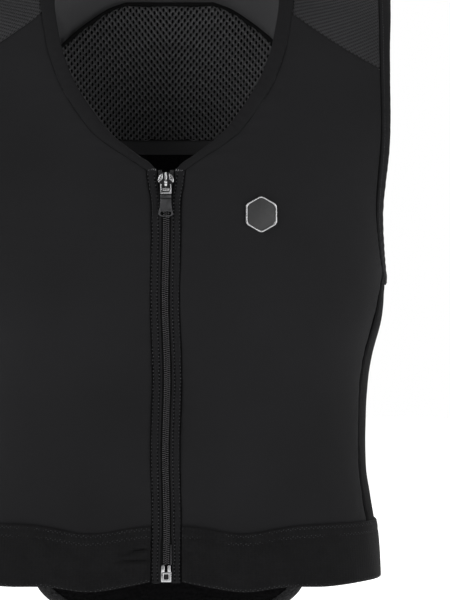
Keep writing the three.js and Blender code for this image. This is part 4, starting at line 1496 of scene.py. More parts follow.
@dataclass
class Shell:
    """The cloth panels: two fronts, two yokes, two sides and the back."""

    pattern: Pattern
    finishes: Finishes
    thickness: float = 0.002
    step: float = 0.0045
    valley: float = 0.0010
    valley_reach: float = 0.0013
    pucker: float = 0.00028
    pucker_pitch: float = 0.0075
    pucker_reach: float = 0.007
    pucker_start: float = 0.003
    pucker_wander: float = 1.6
    flat_seam: float = 0.4
    swell: float = 0.0006
    swell_size: float = 0.11
    fine_swell: float = 0.00012
    fine_swell_size: float = 0.03
    fold_lines: tuple[Sizes, ...] = (
        (0.1114, 0.1078, 0.0018), (0.1050, 0.0930, 0.0016), (0.0985, 0.0900, 0.0009),
    )
    fold_top: float = -0.052
    fold_drop: float = 0.034
    fold_share: float = 1.3
    fold_reach: float = 0.0026
    dent_share: float = 0.7
    dent_shift: float = 0.0050
    dent_reach: float = 0.0028
    zip_gather: float = 0.00035
    zip_gather_pitch: float = 0.017
    band_gather: float = 0.00025
    band_gather_pitch: float = 0.012
    pocket_lift: float = 0.0012
    pocket_line: float = 0.0010
    pocket_line_reach: float = 0.0016
    lower_rows: int = 7
    chest_rows: int = 3
    neck_rows: int = 7
    back_arm_rows: int = 12
    back_neck_rows: int = 5
    across_rows: int = 10

    def _flat(self, pairs: Array, points: Array) -> Array:
        """Places on the flat cloth: length round the body from the front, and height.

        Args:
            pairs: angle and height of each point.
            points: the points.

        Returns:
            Pairs of lengths.
        """
        start = np.linalg.norm(points[:, 0, :2], axis=-1) * np.abs(pairs[:, 0, 0])
        along = np.linalg.norm(np.diff(points, axis=1), axis=-1)
        run = np.concatenate([np.zeros((len(along), 1)), np.cumsum(along, axis=1)], axis=1)
        return np.stack([run + start[:, None], points[..., 2]], -1)

    def relief(self, cloth: Cloth, sides: Sequence[int], seed: int, shallow: bool = False) -> Array:
        """How the cloth sinks to its seams and puckers beside them.

        Args:
            cloth: the panel.
            sides: which of its four edges are sewn.
            seed: picks the unevenness.
            shallow: whether the first edge's seam is a flat one.

        Returns:
            Heights over the panel.
        """
        rims = cloth.rims
        along = (cloth.points[..., 2], cloth.points[..., 2], cloth.points[..., 0], cloth.points[..., 0])
        height = self.swell * ripple(cloth.points, self.swell_size, seed)
        height += self.fine_swell * ripple(cloth.points, self.fine_swell_size, seed + 1)
        for index in sides:
            gap = rims[index]
            shift = self.pucker_wander * ripple(cloth.points, 0.02, seed + 2, 5)
            wave = np.sin(along[index] * math.tau / self.pucker_pitch + shift)
            depth = self.flat_seam if index == 0 and shallow else 1.0
            height -= self.valley * bell(gap, self.valley_reach) * depth
            height += self.pucker * wave * bell(gap - self.pucker_start, self.pucker_reach) * smooth(gap, 0, 0.002)
        return height

    def _panel(self, name: str, pairs: Array, place: Callable[[Array, Array], tuple[Array, Array]], side: Side,
               materials: Sequence[bpy.types.Material], slot: Slot, sides: Sequence[int], seed: int,
               extra: Callable[[Cloth], Array] | None = None) -> bpy.types.Object:
        """Makes one panel from its grid of pairs.

        Args:
            name: the frame's node that it stands for.
            pairs: the grid.
            place: puts pairs on the body.
            side: which side it is on.
            materials: outer and inner finish.
            slot: the record's slot.
            sides: which of its edges are sewn.
            seed: picks its unevenness.
            extra: further relief.

        Returns:
            The panel.
        """
        points, normals = place(pairs[..., 0], pairs[..., 1])
        cloth = Cloth(points, normals, self._flat(pairs, points)).mirrored(side)
        height = self.relief(cloth, sides, seed, slot is Slot.SHELL and name != "back_panel")
        if extra is not None:
            height = height + extra(cloth)
        shaped = cloth.raised(height)
        mesh = grid_mesh(f"{name}_cloth", shaped.points, shaped.flat, shaped.normals)
        piece = add_piece(mesh, materials, replaces=[name], sharp=60)
        thicken(piece, self.thickness, 1)
        return piece

    def neck_folds(self, points: Array) -> Array:
        """Standing folds of the cloth inside the shoulders, beside the neck at the back.

        Args:
            points: places on the cloth.

        Returns:
            How far each point sinks towards the body.
        """
        side, z = np.abs(points[..., 0]), points[..., 2]
        made = np.zeros_like(side)
        for start, end, height in self.fold_lines:
            away = side - lerp(start, end, np.clip((self.fold_top - z) / self.fold_drop, 0, 1.4))
            dent = self.dent_share * bell(away - self.dent_shift, self.dent_reach)
            made += self.fold_share * height * (bell(away, self.fold_reach) - dent)
        return made * smooth(z, -0.105, -0.08) * (1 - smooth(z, -0.045, -0.025)) * (points[..., 1] > 0.01)

    def front(self, side: Side) -> bpy.types.Object:
        """Front panel, from the zip to the side seam and armhole.

        Args:
            side: which side it is on.

        Returns:
            The panel.
        """
        cut, torso, line = self.pattern, self.pattern.torso, self.pattern.zip_line
        rows = self.lower_rows + self.chest_rows + self.neck_rows
        low_rows = self.lower_rows + self.chest_rows
        up = rimmed(0.48, self.step, (self.lower_rows / rows, low_rows / rows))
        over = rimmed(0.18, self.step)
        z = lerp(line.hem, line.top, np.minimum(up * rows / low_rows, 1))
        zip_edge = cut.angle_pairs(spots(line.outer_at(z) + side.value * line.wave_at(z), z, Face.FRONT))
        neck_edge = cut.angle_pairs(cut.neck_chest(np.clip((up * rows - low_rows) / self.neck_rows, 0, 1)))
        left = np.where((up * rows <= low_rows)[:, None], zip_edge, neck_edge)
        seam = cut.side_seam(np.clip(up * rows / self.lower_rows, 0, 1), Face.FRONT)
        bends = lerp(cut.side_bend, cut.yoke_arm_bend,
                     np.clip((up * rows - self.lower_rows) / (rows - self.lower_rows), 0, 1))
        arm = cut.angle_pairs(cut.arm(bends, Face.FRONT))
        right = np.where((up * rows <= self.lower_rows)[:, None], seam, arm)
        bottom = lerp(left[0], right[0], over[:, None])
        top = cut.angle_pairs(cut.yoke_front(over))

        def gathers(cloth: Cloth) -> Array:
            """Small pulls of the cloth beside the zip and above the band.

            Args:
                cloth: the panel.

            Returns:
                Heights.
            """
            near, _, low, _ = cloth.rims
            x, z = cloth.points[..., 0], cloth.points[..., 2]
            beside = np.sin(z * math.tau / self.zip_gather_pitch + 2.0 * ripple(cloth.points, 0.05, 71, 5))
            above = np.sin(x * math.tau / self.band_gather_pitch + 2.0 * ripple(cloth.points, 0.04, 72, 5))
            made = self.zip_gather * beside * bell(near - 0.006, 0.012)
            return made + self.band_gather * above * bell(low - 0.018, 0.014)

        pairs = fill_edges(left, right, bottom, top, over, up)
        return self._panel(f"front_panel_{side.label}", pairs, torso.by_angle, side,
                           (self.finishes.shell, self.finishes.lining), Slot.SHELL, (0, 1, 3), 11, gathers)

    def yoke(self, side: Side) -> bpy.types.Object:
        """Yoke over the shoulder.

        Args:
            side: which side it is on.

        Returns:
            The yoke.
        """
        cut = self.pattern
        up, over = rimmed(0.16, self.step / 2, (0.5,)), rimmed(0.09, self.step / 2)
        pairs = fill_edges(cut.turn_pairs(cut.neck_yoke(up)), cut.turn_pairs(cut.arm_yoke(up)),
                           cut.turn_pairs(cut.yoke_front(over)), cut.turn_pairs(cut.yoke_back(over)), over, up)
        points, normals = cut.torso.by_turn(pairs[..., 0], pairs[..., 1])
        along = np.concatenate([np.zeros((1, len(over))),
                                np.cumsum(np.linalg.norm(np.diff(points, axis=0), axis=-1), axis=0)], axis=0)
        cloth = Cloth(points, normals, np.stack([points[..., 0], along], -1)).mirrored(side)
        shaped = cloth.raised(self.relief(cloth, (0, 1, 2, 3), 21) - self.neck_folds(cloth.points))
        name = f"shoulder_yoke_{side.label}"
        piece = add_piece(grid_mesh(f"{name}_cloth", shaped.points, shaped.flat, shaped.normals),
                          (self.finishes.yoke, self.finishes.lining), replaces=[name], sharp=60)
        thicken(piece, self.thickness, 1)
        return piece

    def side_panel(self, side: Side) -> bpy.types.Object:
        """Panel under the arm.

        Args:
            side: which side it is on.

        Returns:
            The panel.
        """
        cut = self.pattern
        up, over = rimmed(0.22, self.step), rimmed(0.06, self.step, (0.5,))
        half = (over <= 0.5)[:, None]
        under_front = cut.arm(lerp(cut.side_bend, QUARTER, np.minimum(over * 2, 1)), Face.FRONT)
        under_back = cut.arm(lerp(QUARTER, cut.side_bend, np.maximum(over * 2 - 1, 0)), Face.BACK)
        top = np.where(half, cut.angle_pairs(under_front), cut.angle_pairs(under_back))
        left, right = cut.side_seam(up, Face.FRONT), cut.side_seam(up, Face.BACK)
        pairs = fill_edges(left, right, lerp(left[0], right[0], over[:, None]), top, over, up)
        return self._panel(f"side_panel_{side.label}", pairs, cut.torso.by_angle, side,
                           (self.finishes.side, self.finishes.lining), Slot.SIDE, (0, 1, 3), 31)

    @staticmethod
    def _other_side(pairs: Array) -> Array:
        """Pairs of angle and height, mirrored to the other side of the body."""
        return np.stack([math.tau - pairs[..., 0], pairs[..., 1]], -1)

    def back(self) -> bpy.types.Object:
        """Back panel, with the sewn outline of the pad pocket.

        Returns:
            The panel.
        """
        cut = self.pattern
        rows = self.lower_rows + self.back_arm_rows
        half = self.across_rows + self.back_neck_rows
        up = rimmed(0.5, self.step * 0.7, (self.lower_rows / rows,))
        over = rimmed(0.36, self.step * 0.7, (self.across_rows / half / 2, 0.5, 1 - self.across_rows / half / 2))
        seam = cut.side_seam(np.clip(up * rows / self.lower_rows, 0, 1), Face.BACK)
        bends = lerp(cut.side_bend, cut.back_yoke_bend,
                     np.clip((up * rows - self.lower_rows) / self.back_arm_rows, 0, 1))
        near = np.where((up * rows <= self.lower_rows)[:, None], seam, cut.angle_pairs(cut.arm(bends, Face.BACK)))
        place = np.minimum(over, 1 - over) * 2 * half
        top_yoke = cut.angle_pairs(cut.yoke_back(np.clip(1 - place / self.across_rows, 0, 1)))
        top_neck = cut.angle_pairs(cut.neck_back(np.clip((place - self.across_rows) / self.back_neck_rows, 0, 1)))
        top = np.where((place <= self.across_rows)[:, None], top_yoke, top_neck)
        top = np.where((over > 0.5)[:, None], self._other_side(top), top)
        far = self._other_side(near)
        pairs = fill_edges(near, far, lerp(near[0], far[0], over[:, None]), top, over, up)
        pad = PadForm(cut)

        def pocket(cloth: Cloth) -> Array:
            """The pad lifts the cloth a little, and a sewn line runs round it.

            Args:
                cloth: the panel.

            Returns:
                Heights.
            """
            x, z = cloth.points[..., 0], cloth.points[..., 2]
            gap = pad.inside(x, z)
            lifted = self.pocket_lift * smooth(gap, 0.002, 0.016)
            sewn = self.pocket_line * bell(gap, self.pocket_line_reach)
            return lifted - sewn - self.neck_folds(cloth.points)

        return self._panel("back_panel", pairs, cut.torso.by_angle, Side.LEFT,
                           (self.finishes.shell, self.finishes.lining), Slot.SHELL, (0, 1, 3), 41, pocket)

    def build(self) -> None:
        """Builds and dresses all the panels."""
        for side in Side:
            self.front(side)
            self.yoke(side)
            self.side_panel(side)
        self.back()


@dataclass(frozen=True)
class PadForm:
    """The form of the back pad, inside the back panel."""

    pattern: Pattern
    thickness: float = 0.017
    half: float = 0.134
    top: float = -0.053
    tail: float = 0.063
    edge_share: float = 0.4
    edge_power: float = 6.0
    outer: float = 0.0036

    @property
    def bottom(self) -> float:
        """Height of the tail's foot."""
        return -self.pattern.torso.length - self.tail

    def half_at(self, z: Array) -> Array:
        """Half width at heights."""
        return self.half * read_rows(PAD_ROWS, 1, (self.top - np.asarray(z)) / (self.top - self.bottom))

    def depth_at(self, over: Array, z: Array) -> Array:
        """Thickness, by share of the half width and height.

        Args:
            over: shares of the half width.
            z: heights.

        Returns:
            Thicknesses.
        """
        down = (self.top - z) / (self.top - self.bottom)
        rim = (1 - np.abs(over) ** self.edge_power) * (1 - np.abs(2 * down - 1) ** (2 * self.edge_power))
        return self.thickness * lerp(self.edge_share, 1, np.clip(rim, 0, 1))

    def point(self, over: Array, z: Array, depth: Array) -> tuple[Array, Array]:
        """Points and directions towards the wearer, at a depth into the pad from its outer face.

        Args:
            over: shares of the half width.
            z: heights.
            depth: how deep.

        Returns:
            Points and directions.
        """
        torso = self.pattern.torso
        over, z = np.broadcast_arrays(np.asarray(over, float), np.asarray(z, float))
        spread = torso.angle_of(spots(np.abs(over) * self.half_at(z), z, Face.FRONT))
        points, normals = torso.by_angle(math.pi - np.sign(over) * np.abs(spread), z)
        return points - normals * (self.outer + depth)[..., None], -normals

    def inside(self, x: Array, z: Array) -> Array:
        """About how far inside the pad's outline points are, below 0 outside it.

        Args:
            x: distances from the middle.
            z: heights.

        Returns:
            Distances.
        """
        across = self.half_at(z) - np.abs(x)
        steps = 0.004
        slope = (self.half_at(z + steps) - self.half_at(z - steps)) / (2 * steps)
        return np.minimum(across / np.sqrt(1 + slope**2), self.top - z)

    def outline(self, count: int, start: float, end: float) -> Array:
        """Points of x and z down the outline on the wearer's left, evenly by length.

        Args:
            count: how many.
            start: height where it starts.
            end: height where it ends.

        Returns:
            Rows of x and z.
        """
        z = np.linspace(start, end, 900)
        line = np.stack([self.half_at(z), z], -1)
        length = run_lengths(line)
        even = np.linspace(0, length[-1], count)
        return np.stack([np.interp(even, length, line[:, 0]), np.interp(even, length, line[:, 1])], -1)


@dataclass
class BackPad:
    """The pad with its tail, the edging of the tail and the lining strip."""

    form: PadForm
    finishes: Finishes
    columns: int = 44
    rows: int = 110
    round_: float = 0.0045
    voxel: float = 0.006
    cap: float = 0.0010
    frames: int = 20
    pressure: float = 4.0
    edging_rows: tuple[tuple[float, float, bool], ...] = (
        (0.0050, 0.0008, False), (0.0052, -0.0005, False), (0.0030, -0.0009, False), (0.0012, -0.0008, False),
        (0.0001, 0.0, True), (0.0012, 0.0009, True), (0.0030, 0.0012, True), (0.0060, 0.0012, True),
        (0.0088, 0.0011, True), (0.0100, 0.0006, True), (0.0101, -0.0006, True),
    )
    tape_top: float = -0.17936
    tape_bottom: float = -0.193
    tape_reach: float = 0.97
    tape_lift: float = 0.0024
    tape_thick: float = 0.0012
    edging_top: float = -0.50

    def _layer(self, inner: bool) -> Array:
        """One face of the pad, rounded towards its rim.

        Args:
            inner: the face towards the wearer, or the other.

        Returns:
            Rows of columns of points.
        """
        over = np.sin(np.linspace(-QUARTER, QUARTER, self.columns + 1))[None, :]
        share = np.linspace(0, 1, self.rows + 1)
        z = lerp(self.form.top, self.form.bottom, lerp(share, (1 - np.cos(share * math.pi)) / 2, 0.7))[:, None]
        over, z = np.broadcast_arrays(over, z)
        gap = (1 - np.abs(over)) * self.form.half_at(z)
        gap = np.minimum(gap, np.minimum(self.form.top - z, z - self.form.bottom))
        curve = np.sqrt(np.clip(1 - (1 - np.clip(gap / self.round_, 0, 1)) ** 2, 0, 1))
        middle = self.form.thickness * self.form.edge_share / 2
        full = self.form.depth_at(over, z) if inner else np.zeros_like(z)
        return self.form.point(over, z, middle + (full - middle) * curve)[0]

    def _swell(self, piece: bpy.types.Object) -> None:
        """Lets the pad's cover take its own form by cloth simulation, within a small cap.

        Args:
            piece: the pad, in place.
        """
        remesh = piece.modifiers.new("even", "REMESH")
        remesh.mode, remesh.voxel_size = "VOXEL", self.voxel
        self._apply(piece)
        count = len(piece.data.vertices)
        rest = np.empty(count * 3)
        piece.data.vertices.foreach_get("co", rest)
        cloth = piece.modifiers.new("cover", "CLOTH")
        cloth.settings.effector_weights.gravity = 0
        cloth.settings.use_pressure = True
        cloth.settings.uniform_pressure_force = self.pressure
        cloth.settings.quality = 5
        scene = bpy.context.scene
        for step in range(1, self.frames + 1):
            scene.frame_set(step)
        self._apply(piece)
        scene.frame_set(1)
        moved = np.empty(count * 3)
        piece.data.vertices.foreach_get("co", moved)
        shift = (moved - rest).reshape(-1, 3)
        size = np.linalg.norm(shift, axis=1, keepdims=True)
        held = rest.reshape(-1, 3) + shift * np.minimum(1, self.cap / np.maximum(size, 1e-9))
        piece.data.vertices.foreach_set("co", held.astype(np.float32).ravel())
        piece.data.update()

    @staticmethod
    def _apply(piece: bpy.types.Object) -> None:
        """Makes the piece's modifiers part of its mesh.

        Args:
            piece: the pad.
        """
        seen = piece.evaluated_get(bpy.context.evaluated_depsgraph_get())
        made = bpy.data.meshes.new_from_object(seen)
        piece.modifiers.clear()
        old, piece.data = piece.data, made
        bpy.data.meshes.remove(old)

    def pad(self) -> bpy.types.Object:
        """The pad itself.

        Returns:
            The pad.
        """
        flat = np.zeros((self.rows + 1, self.columns + 1, 2))
        halves = [grid_mesh("pad_half", self._layer(inner), flat) for inner in (False, True)]
        mesh = close_mesh(joined("back_pad", halves), 2e-5)
        piece = bpy.data.objects.new("back_pad", mesh)
        bpy.context.scene.collection.objects.link(piece)
        self._swell(piece)
        shape = piece.data
        bpy.data.objects.remove(piece)
        shape.name = "back_pad"
        shape.materials.clear()
        piece = add_piece(shape, (self.finishes.pad,), replaces=["back_protector"], sharp=80)
        finer = piece.modifiers.new("smooth", "SUBSURF")
        finer.levels = finer.render_levels = 1
        return piece

    def edging(self) -> bpy.types.Object:
        """The sewn edging round the foot of the tail.

        Returns:
            The edging.
        """
        half = self.form.outline(150, self.edging_top, self.form.bottom)
        line = np.concatenate([half[:-1], (half * np.array([-1, 1]))[::-1]])
        away = unit(np.gradient(line, axis=0))[:, ::-1] * np.array([-1, 1])
        away *= np.where((away[:, :1] * line[:, :1] - away[:, 1:]) < 0, -1, 1)
        middle = self.form.thickness * self.form.edge_share / 2
        rows = []
        for inset, proud, inner in self.edging_rows:
            spot = line - away * inset
            half_here = np.maximum(self.form.half_at(spot[:, 1]), 1e-4)
            over = np.clip(spot[:, 0] / half_here, -1, 1)
            curve = math.sqrt(max(0.0, 1 - (1 - min(max(inset, 0) / self.round_, 1)) ** 2))
            full = self.form.depth_at(over, spot[:, 1]) if inner else np.zeros(len(line))
            rows.append(self.form.point(over, spot[:, 1], middle + (full - middle) * curve + proud)[0])
        grid = np.stack([*rows, rows[0]], 1)
        flat = np.stack(np.broadcast_arrays(run_lengths(grid[:, 4])[:, None], run_lengths(grid[75])[None]), -1)
        mesh = close_mesh(grid_mesh("tail_edging", grid, flat))
        piece = add_piece(mesh, (self.finishes.edging,))
        return piece

    def tape(self) -> bpy.types.Object:
        """The plain strip below the air mesh.

        Returns:
            The strip.
        """
        over = np.linspace(-self.tape_reach, self.tape_reach, 61)[None]
        z = np.linspace(self.tape_bottom, self.tape_top, 9)[:, None]
        over, z = np.broadcast_arrays(over, z)
        points, normals = self.form.point(over, z, self.form.depth_at(over, z) + self.tape_lift)
        flat = np.stack([over * self.form.half, z], -1)
        cloth = Cloth(points, normals, flat)
        _, _, low, high = cloth.rims
        height = -0.0008 * bell(low, 0.0012) - 0.0008 * bell(high, 0.0012) + 0.0002 * ripple(points, 0.03, 5)
        shaped = cloth.raised(height)
        mesh = grid_mesh("lining_strip", shaped.points, shaped.flat, shaped.normals)
        piece = add_piece(mesh, (self.finishes.strip,), replaces=["lining_tape"])
        thicken(piece, self.tape_thick)
        return piece

    def build(self) -> None:
        """Builds and dresses the pad."""
        self.pad()
        self.edging()
        self.tape()


@dataclass
class AirMesh:
    """The open mesh over the pad's inner face, with its bound edge."""

    form: PadForm
    finishes: Finishes
    top: float = -0.0545
    bottom: float = -0.1797
    hole_across: float = 0.00554
    hole_up: float = 0.0068
    thread: float = 0.00058
    narrow: tuple[float, float] = (0.78, 1.12)
    slope: float = 0.10
    reach: float = 0.985
    lift: float = 0.0016
    thickness: float = 0.0011
    cut: tuple[float, float] = (0.252, 0.126)
    crossing: float = 1.35
    least: float = 0.3
    edge_lift: float = 0.0012
    edge_half: float = 0.0024
    edge_rise: float = 0.0015

    def lattice(self) -> bpy.types.Object:
        """The mesh's threads, as a lattice of oval holes.

        Returns:
            The lattice.
        """
        made = bmesh.new()
        count = 44
        bmesh.ops.create_grid(made, x_segments=count, y_segments=count, size=count / 2)
        bmesh.ops.rotate(made, verts=made.verts, cent=(0, 0, 0), matrix=Matrix.Rotation(QUARTER / 2, 3, "Z"))
        bmesh.ops.scale(made, verts=made.verts, vec=(self.hole_across / math.sqrt(2), self.hole_up / math.sqrt(2), 1))
        middle = (self.top + self.bottom) / 2
        bmesh.ops.translate(made, verts=made.verts, vec=(0, middle, 0))
        for vert in made.verts:
            vert.co.y += self.slope * abs(vert.co.x)

        def outside(face: bmesh.types.BMFace) -> bool:
            """Whether a cell lies off the lining.

            Args:
                face: the cell.

            Returns:
                Whether it is deleted.
            """
            at = face.calc_center_median()
            if not self.bottom < at.y < self.top:
                return True
            return abs(at.x) > float(self.form.half_at(at.y))

        bmesh.ops.delete(made, geom=[face for face in made.faces if outside(face)], context="FACES")
        cells = list(made.faces)
        bmesh.ops.inset_individual(made, faces=cells, thickness=self.thread, use_even_offset=True)
        for cell in cells:
            at = cell.calc_center_median()
            bmesh.ops.scale(made, verts=cell.verts, vec=(*self.narrow, 1), space=Matrix.Translation(-at))
        bmesh.ops.delete(made, geom=cells, context="FACES_ONLY")
        mesh = bpy.data.meshes.new("air_mesh_threads")
        made.to_mesh(mesh)
        made.free()
        flat = np.empty(len(mesh.vertices) * 3)
        mesh.vertices.foreach_get("co", flat)
        flat = flat.reshape(-1, 3)
        flat[:, 1] = np.clip(flat[:, 1], self.bottom, self.top - 0.001)
        over = np.clip(flat[:, 0] / self.form.half_at(flat[:, 1]), -self.reach, self.reach)
        points, _ = self.form.point(over, flat[:, 1], self.form.depth_at(over, flat[:, 1]) + self.lift)
        mesh.vertices.foreach_set("co", points.astype(np.float32).ravel())
        mesh.update()
        if mesh.polygons[0].normal.y > 0:
            mesh.flip_normals()
        piece = add_piece(mesh, (self.finishes.mesh,), replaces=["back_mesh_lining"], sharp=180)
        wall = piece.modifiers.new("wall", "SOLIDIFY")
        wall.thickness, wall.offset = self.thickness, 1
        finer = piece.modifiers.new("round", "SUBSURF")
        finer.levels = finer.render_levels = 1
        return piece

    def edge(self) -> bpy.types.Object:
        """The bound edge round the top and sides of the mesh.

        Returns:
            The edge.
        """
        half = self.form.outline(120, self.bottom, self.form.top - 0.0015)
        line = np.concatenate([half, (half * np.array([-1, 1]))[::-1]])
        over = np.sign(line[:, 0]) * self.reach
        points, normals = self.form.point(over, line[:, 1], self.form.depth_at(over, line[:, 1]) + self.edge_lift)
        out = unit(np.cross(unit(np.gradient(points, axis=0)), normals))
        turn = np.linspace(0, math.tau, 13)
        sideways = self.edge_half * np.cos(turn) * (1 + 0.25 * np.cos(turn) ** 2)
        ring = np.stack([sideways, self.edge_rise * np.sin(turn)], -1)
        grid = points[:, None] + out[:, None] * ring[None, :, :1] + normals[:, None] * ring[None, :, 1:]
        flat = np.stack(np.broadcast_arrays(run_lengths(points)[:, None], turn[None] * 0.002), -1)
        mesh = close_mesh(grid_mesh("air_mesh_edge", grid, flat))
        # Its near-black finish is partly the bound edge's own colour and partly painted shadow of the pad's rim.
        return add_piece(mesh, (self.finishes.mesh_edge,))

    def build(self) -> None:
        """Builds and dresses the mesh."""
        lattice = self.lattice()
        edge = self.edge()


@dataclass
class Bindings:
    """The bindings round the neck and armholes."""

    pattern: Pattern
    finishes: Finishes
    gap: float = 0.00018
    thickness: float = 0.0036
    cloth: float = 0.002
    neck_width: float = 0.012
    arm_width: float = 0.011
    end_reach: float = 0.010
    end_share: float = 0.72
    taper_share: float = 0.55
    taper_reach: float = 0.075
    pucker: float = 0.00022
    pucker_pitch: float = 0.009
    unevenness: float = 0.0002
    fuller: float = 0.16
    fuller_from: float = -0.115
    fuller_to: float = -0.070
    stitch_pitch: float = 0.0026
    stitch_size: Sizes = (0.0019, 0.00055, 0.00045)
    tack_from: float = 0.25
    tack_to: float = 0.98
    tack_pitch: float = 0.0009
    tack_lift: float = 0.0010
    tack_size: Sizes = (0.0024, 0.0005, 0.0005)

    def _tube(self, name: str, line: Array, width: float, joined_: bool, opening: Callable[[Array], Array],
              replaces: str, seed: int) -> tuple[bpy.types.Object, Array, Array, Array]:
        """A binding along a seam, its section set across it.

        Args:
            name: its name.
            line: the seam's spots.
            width: how far it reaches into the opening.
            joined_: whether it closes into a loop.
            opening: a point in the opening for each point of the seam.
            replaces: the frame's node that it stands for.
            seed: picks its unevenness.

        Returns:
            The binding, and its seam's points, normals and directions across.
        """
        points, normals = self.pattern.torso.at_spots(line)
        if joined_:
            along = np.roll(points, -1, 0) - np.roll(points, 1, 0)
        else:
            along = np.gradient(points, axis=0)
        across = unit(np.cross(along, normals))
        across[((opening(points) - points) * across).sum(-1) < 0] *= -1
        if not joined_:
            near = np.minimum(run_lengths(points), run_lengths(points[::-1])[::-1])
            level = np.stack([-np.sign(points[:, 0]), np.zeros(len(points)), np.zeros(len(points))], -1)
            turn = (1 - smooth(near, 0.0, self.end_reach))[:, None]
            taper = lerp(self.taper_share, 1.0, smooth(near, self.end_reach, self.taper_reach))[:, None]
            across = unit(lerp(across, level, turn)) * lerp(taper, self.end_share, turn)
        if joined_:
            points, normals, across = (np.concatenate([part, part[:1]]) for part in (points, normals, across))
            across = across * (1 + self.fuller * smooth(points[:, 2], self.fuller_from, self.fuller_to))[:, None]
        rows = np.asarray(BINDING_ROWS)
        section = np.concatenate([rows, rows[-2::-1] * np.array([1, -1]), rows[:1]])
        length = run_lengths(points)
        wave = np.sin(length * math.tau / self.pucker_pitch + 2.2 * ripple(points, 0.03, seed, 5))
        outer = np.concatenate([np.sin(np.linspace(0, math.pi, len(rows))), np.zeros(len(section) - len(rows))])
        soft = self.pucker * wave[:, None] * outer[None]
        soft += self.unevenness * ripple(points, 0.02, seed + 3)[:, None] * outer[None]
        grid = (points[:, None] + across[:, None] * (self.gap + section[None, :, :1] * width)
                + normals[:, None] * (section[None, :, 1:] * self.thickness - self.cloth / 2 + soft[..., None]))
        rim = run_lengths(section * np.array([width, self.thickness]))
        flat = np.stack(np.broadcast_arrays(length[:, None], rim[None]), -1)
        mesh = close_mesh(grid_mesh(name, grid, flat))
        piece = add_piece(mesh, (self.finishes.binding,), replaces=[replaces], sharp=70)
        return piece, points, normals, across

    def neck(self) -> tuple[bpy.types.Object, Array, Array, Array]:
        """The neck binding, from one side of the zip round to the other.

        Returns:
            The binding, and its seam's points, normals and directions across.
        """
        cut = self.pattern
        share = np.linspace(0, 1, 120)
        half = np.concatenate([cut.neck_chest(share), cut.neck_yoke(np.linspace(0, 1, 61))[1:],
                               cut.neck_back(np.linspace(0, 1, 50))[1:]])
        other = half[:-1][::-1] * np.array([-1.0, 1.0, 1.0])

        def opening(points: Array) -> Array:
            """A point in the middle of the neck for each point."""
            return np.stack([np.zeros(len(points)), points[:, 1], lerp(cut.neck_top, points[:, 2], 0.5)], -1)

        return self._tube("neck_binding_cloth", np.concatenate([half, other]), self.neck_width, False, opening,
                          "neck_binding", 51)

    def armhole(self, side: Side) -> tuple[bpy.types.Object, Array, Array, Array]:
        """The binding of one armhole.

        Args:
            side: which side it is on.

        Returns:
            The binding, and its seam's points, normals and directions across.
        """
        cut = self.pattern
        bends = lerp(cut.side_bend, cut.yoke_arm_bend, np.linspace(0, 1, 110))
        back = lerp(cut.back_yoke_bend, cut.side_bend, np.linspace(0, 1, 110))
        loop = np.concatenate([
            cut.arm(bends, Face.FRONT),
            cut.arm_yoke(np.linspace(0, 1, 61))[1:],
            cut.arm(back, Face.BACK)[1:],
            cut.arm(lerp(cut.side_bend, QUARTER, np.linspace(0, 1, 24)), Face.BACK)[1:],
            cut.arm(lerp(QUARTER, cut.side_bend, np.linspace(0, 1, 24)), Face.FRONT)[1:-1],
        ]) * np.array([side.value, 1.0, 1.0])
        middle = np.array([side.value * cut.torso.chest_half, 0, (cut.arm_top + cut.arm_bottom) / 2])
        return self._tube(f"armhole_binding_{side.label}_cloth", loop, self.arm_width, True,
                          lambda points: np.broadcast_to(middle, points.shape),
                          f"armhole_binding_{side.label}", 61 + side.value)

    def stitches(self, name: str, found: tuple[bpy.types.Object, Array, Array, Array], across: float,
                 width: float) -> bpy.types.Object:
        """A row of stitches along a binding.

        Args:
            name: its name.
            found: what the binding gave.
            across: where the row lies, as a share of the width.
            width: the binding's width.

        Returns:
            The stitches.
        """
        _, points, normals, sideways = found
        rows = np.asarray(BINDING_ROWS)
        rise = float(np.interp(across, rows[:, 0], rows[:, 1])) * self.thickness - self.cloth / 2
        line = points + sideways * (self.gap + across * width) + normals * (rise + 0.00008)
        places = places_along(line, normals, self.stitch_pitch, wander=0.00008, seed=7)
        mesh = copies(name, bead(self.stitch_size), places)
        return add_piece(mesh, (self.finishes.thread,))

    def bartacks(self, found: tuple[bpy.types.Object, Array, Array, Array]) -> bpy.types.Object:
        """Short close stitches that hold the neck binding's ends.

        Args:
            found: what the binding gave.

        Returns:
            The stitches.
        """
        _, points, normals, sideways = found
        places = []
        for end in (0, -1):
            share = np.linspace(self.tack_from, self.tack_to, 12)[:, None]
            line = points[end] + sideways[end] * self.neck_width * share + normals[end] * self.tack_lift
            out = np.repeat(normals[end][None], len(share), 0)
            tacks = places_along(line, out, self.tack_pitch, 1.0, True, 0.0001, 5)
            places += [place @ Matrix.Translation((0, 0.0004, 0)) for place in tacks]
        mesh = copies("neck_bartacks", bead(self.tack_size), places)
        return add_piece(mesh, (self.finishes.tack,))

    def build(self) -> None:
        """Builds and dresses the bindings."""
        self.bartacks(self.neck())
        for side in Side:
            found = self.armhole(side)
            self.stitches(f"armhole_stitches_{side.label}", found, 0.2, self.arm_width)


